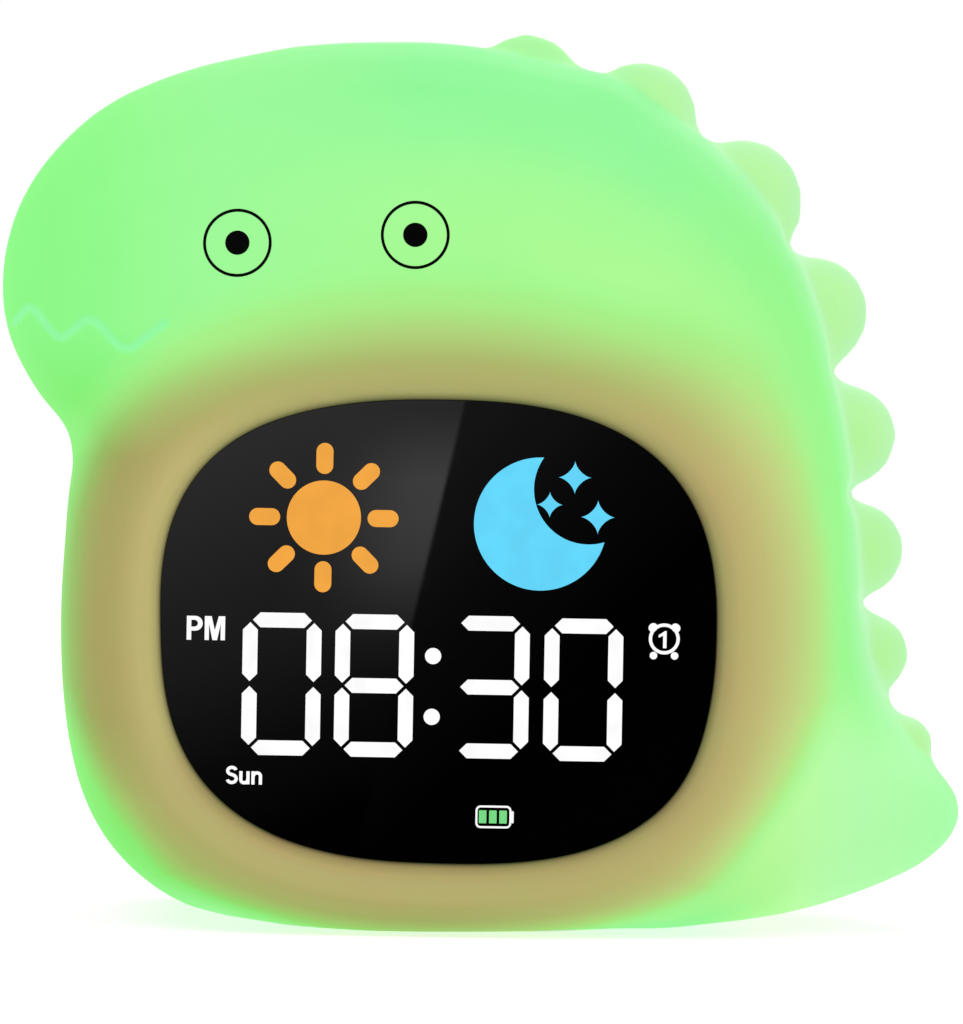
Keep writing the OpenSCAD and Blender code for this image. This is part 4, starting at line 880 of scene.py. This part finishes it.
# ---- Inside of the core ------------------------------------------------------
# Boards, cell, display block, lamps and screws. They are shut in by the
# housings and the skin, and each still has the finish of the real piece.
board_green = plastic("green_solder_mask", srgb(28, 104, 62), 0.35)
board_white = plastic("white_solder_mask", srgb(236, 238, 238), 0.35)
epoxy = plastic("black_epoxy", srgb(34, 34, 36), 0.5)
lead_red = plastic("red_insulation", srgb(178, 38, 34), 0.45)
lamp_resin = plastic("phosphor_resin", srgb(246, 232, 150), 0.25)
INSIDE = {
    "lens_tape": plastic("foam_tape", srgb(36, 36, 36), 0.9, 0.1, 0.1),
    "display_diffuser": plastic("diffusing_film", srgb(240, 240, 236), 0.6),
    "display_block": plastic("white_reflector", srgb(244, 244, 244), 0.45),
    "display_board": board_green, "main_board": board_green,
    "top_lamp_board": board_white, "left_lamp_board": board_white, "right_lamp_board": board_white,
    "display_leds": lamp_resin, "lamp_chips": lamp_resin,
    "board_chips": epoxy, "switch_bodies": epoxy,
    "tap_sensor": metal("gilded_tube", srgb(214, 182, 92), 0.3),
    "display_cable": plastic("flat_cable", srgb(218, 218, 222), 0.4),
    "battery_cradle": plastic("cradle_plastic", srgb(220, 220, 212), 0.5),
    "battery_cell": plastic("blue_shrink_wrap", srgb(58, 98, 190), 0.3),
    "battery_leads": lead_red, "speaker_leads": plastic("black_insulation", srgb(30, 30, 30), 0.45),
    "lamp_leads": lead_red,
    "housing_screws": plated_steel, "board_screws": plated_steel, "display_screws": plated_steel,
    "lamp_screws": plated_steel,
}
for node, finish in INSIDE.items():
    finished(node, finish)

# ---- Studio -----------------------------------------------------------------
# A pale floor and a white backdrop, soft light from above, front and back, and
# before the lens a card that only its polish shows: a grey haze with a slanted
# edge and dark beyond it.
world = bpy.data.worlds.new("studio")
bpy.context.scene.world = world
world.use_nodes = True
nodes, links = world.node_tree.nodes, world.node_tree.links
path = nodes.new("ShaderNodeLightPath")
seen = combined("ADD", path.outputs["Is Camera Ray"], path.outputs["Is Glossy Ray"])
seen = combined("ADD", seen, path.outputs["Is Transmission Ray"])
sky = nodes["Background"]
sky.inputs["Color"].default_value = (1, 1, 1, 1)
links.new(spread(nodes, links, seen, 0, 1, 0.68, 1.0), sky.inputs["Strength"])

bpy.ops.object.select_all(action="DESELECT")
bpy.ops.mesh.primitive_plane_add(size=8)
floor = bpy.context.object
floor.name = "floor"
pale, nodes, links, shader = material("pale_floor")
links.new(ramp(nodes, links, noise(nodes, links, 6), [
    (0.3, (0.6, 0.6, 0.6, 1)), (0.7, (0.62, 0.62, 0.62, 1))]), shader.inputs["Base Color"])
shader.inputs["Roughness"].default_value = 0.95
shader.inputs["Specular IOR Level"].default_value = 0.1
path = nodes.new("ShaderNodeLightPath")
shader.inputs["Emission Color"].default_value = (1, 1, 1, 1)
seen = combined("ADD", path.outputs["Is Camera Ray"], path.outputs["Is Glossy Ray"])
links.new(spread(nodes, links, seen, 0, 1, 0, 0.6), shader.inputs["Emission Strength"])
floor.data.materials.append(pale)

CAMERA = (-13, -978.4, 69.5)
AIM = (0.07, 0, 59)
LENS_MM = 236.6
ROLL = 1
CARD_Y = -150
# The slanted edge in what the lens mirrors: the way across it, and its place.
ACROSS_EDGE = (-0.9763, 0, 0.2165)
EDGE = 0.0181
bpy.ops.object.select_all(action="DESELECT")
bpy.ops.mesh.primitive_plane_add(size=0.4, location=(0, CARD_Y * MM, 0.2001),
                                 rotation=(math.radians(90), 0, 0))
card = bpy.context.object
card.name = "mirrored_card"
bpy.ops.object.transform_apply(location=True, rotation=True, scale=True)
card.visible_camera = card.visible_diffuse = card.visible_shadow = card.visible_transmission = False
mirrored = bpy.data.materials.new("mirrored_card")
mirrored.use_nodes = True
nodes, links = mirrored.node_tree.nodes, mirrored.node_tree.links
nodes.clear()
output = nodes.new("ShaderNodeOutputMaterial")
shine = nodes.new("ShaderNodeEmission")
links.new(shine.outputs[0], output.inputs["Surface"])
place = nodes.new("ShaderNodeTexCoord")
across_edge = nodes.new("ShaderNodeVectorMath")
across_edge.operation = "DOT_PRODUCT"
across_edge.inputs[1].default_value = ACROSS_EDGE
links.new(place.outputs["Object"], across_edge.inputs[0])
split = nodes.new("ShaderNodeSeparateXYZ")
links.new(place.outputs["Object"], split.inputs["Vector"])
card_x, card_z = split.outputs["X"], split.outputs["Z"]


def grey_ramp(source, low, high, stops):
    """Brightness along a value given in mm, as (place, brightness) stops."""
    places = [((place - low) / (high - low), (bright, bright, bright, 1)) for place, bright in stops]
    return ramp(nodes, links, spread(nodes, links, source, low * MM, high * MM), places)


past_edge = across_edge.outputs["Value"]
cut = spread(nodes, links, past_edge, EDGE - 0.0002, EDGE + 0.0004)
slanted = combined("SUBTRACT", card_z, combined("MULTIPLY", card_x, 0.4))
haze = grey_ramp(slanted, 20, 84, [(20, 0.0), (26, 0.03), (34, 0.06), (42.5, 0.135), (50, 0.22), (60, 0.3),
                                   (70, 0.42), (84, 0.59)])
shine_up = grey_ramp(card_z, 30, 76, [(32, 0.0), (37.7, 0.06), (44.7, 0.31), (50.9, 0.65), (57, 0.8),
                                      (63.3, 0.8), (67.9, 0.46), (71, 0.21), (74, 0.0)])
falloff = grey_ramp(past_edge, 18, 40, [(18, 1.0), (23, 0.9), (27.5, 0.62), (33, 0.22), (40, 0.0)])
left_part = combined("ADD", haze, combined("MULTIPLY", shine_up, falloff))
right_part = grey_ramp(combined("SUBTRACT", card_z, card_x), 20, 74, [
    (20, 0.0), (30, 0.024), (41, 0.045), (46, 0.058), (52, 0.083), (58, 0.115), (64, 0.13), (72, 0.17)])
links.new(blend(nodes, links, cut, right_part, left_part), shine.inputs["Color"])
card.data.materials.append(mirrored)


def soft_light(name, place, aim, size, power):
    bpy.ops.object.light_add(type="AREA", location=place)
    lamp = bpy.context.object
    lamp.name = name
    lamp.data.shape, lamp.data.size, lamp.data.energy = "DISK", size, power
    lamp.rotation_euler = (Vector(place) - Vector(aim)).to_track_quat("Z", "Y").to_euler()


soft_light("key_light", (-0.7, -1.1, 1.2), (0, 0, 0.06), 0.9, 9)
soft_light("fill_light", (1.0, -0.8, 0.8), (0, 0, 0.06), 0.9, 4)
soft_light("back_light", (0.3, 1.3, 1.0), (0, 0, 0.06), 0.9, 6)

bpy.ops.object.camera_add()
camera = bpy.context.object
camera.data.lens = LENS_MM
camera.data.sensor_width = 36
from_aim = Vector([(c - a) * MM for c, a in zip(CAMERA, AIM)])
facing = from_aim.to_track_quat("Z", "Y").to_matrix().to_4x4()
camera.matrix_world = (Matrix.Translation([c * MM for c in CAMERA]) @ facing
                       @ Matrix.Rotation(math.radians(ROLL), 4, "Z"))
bpy.context.scene.camera = camera
bpy.context.scene.view_settings.view_transform = "Standard"
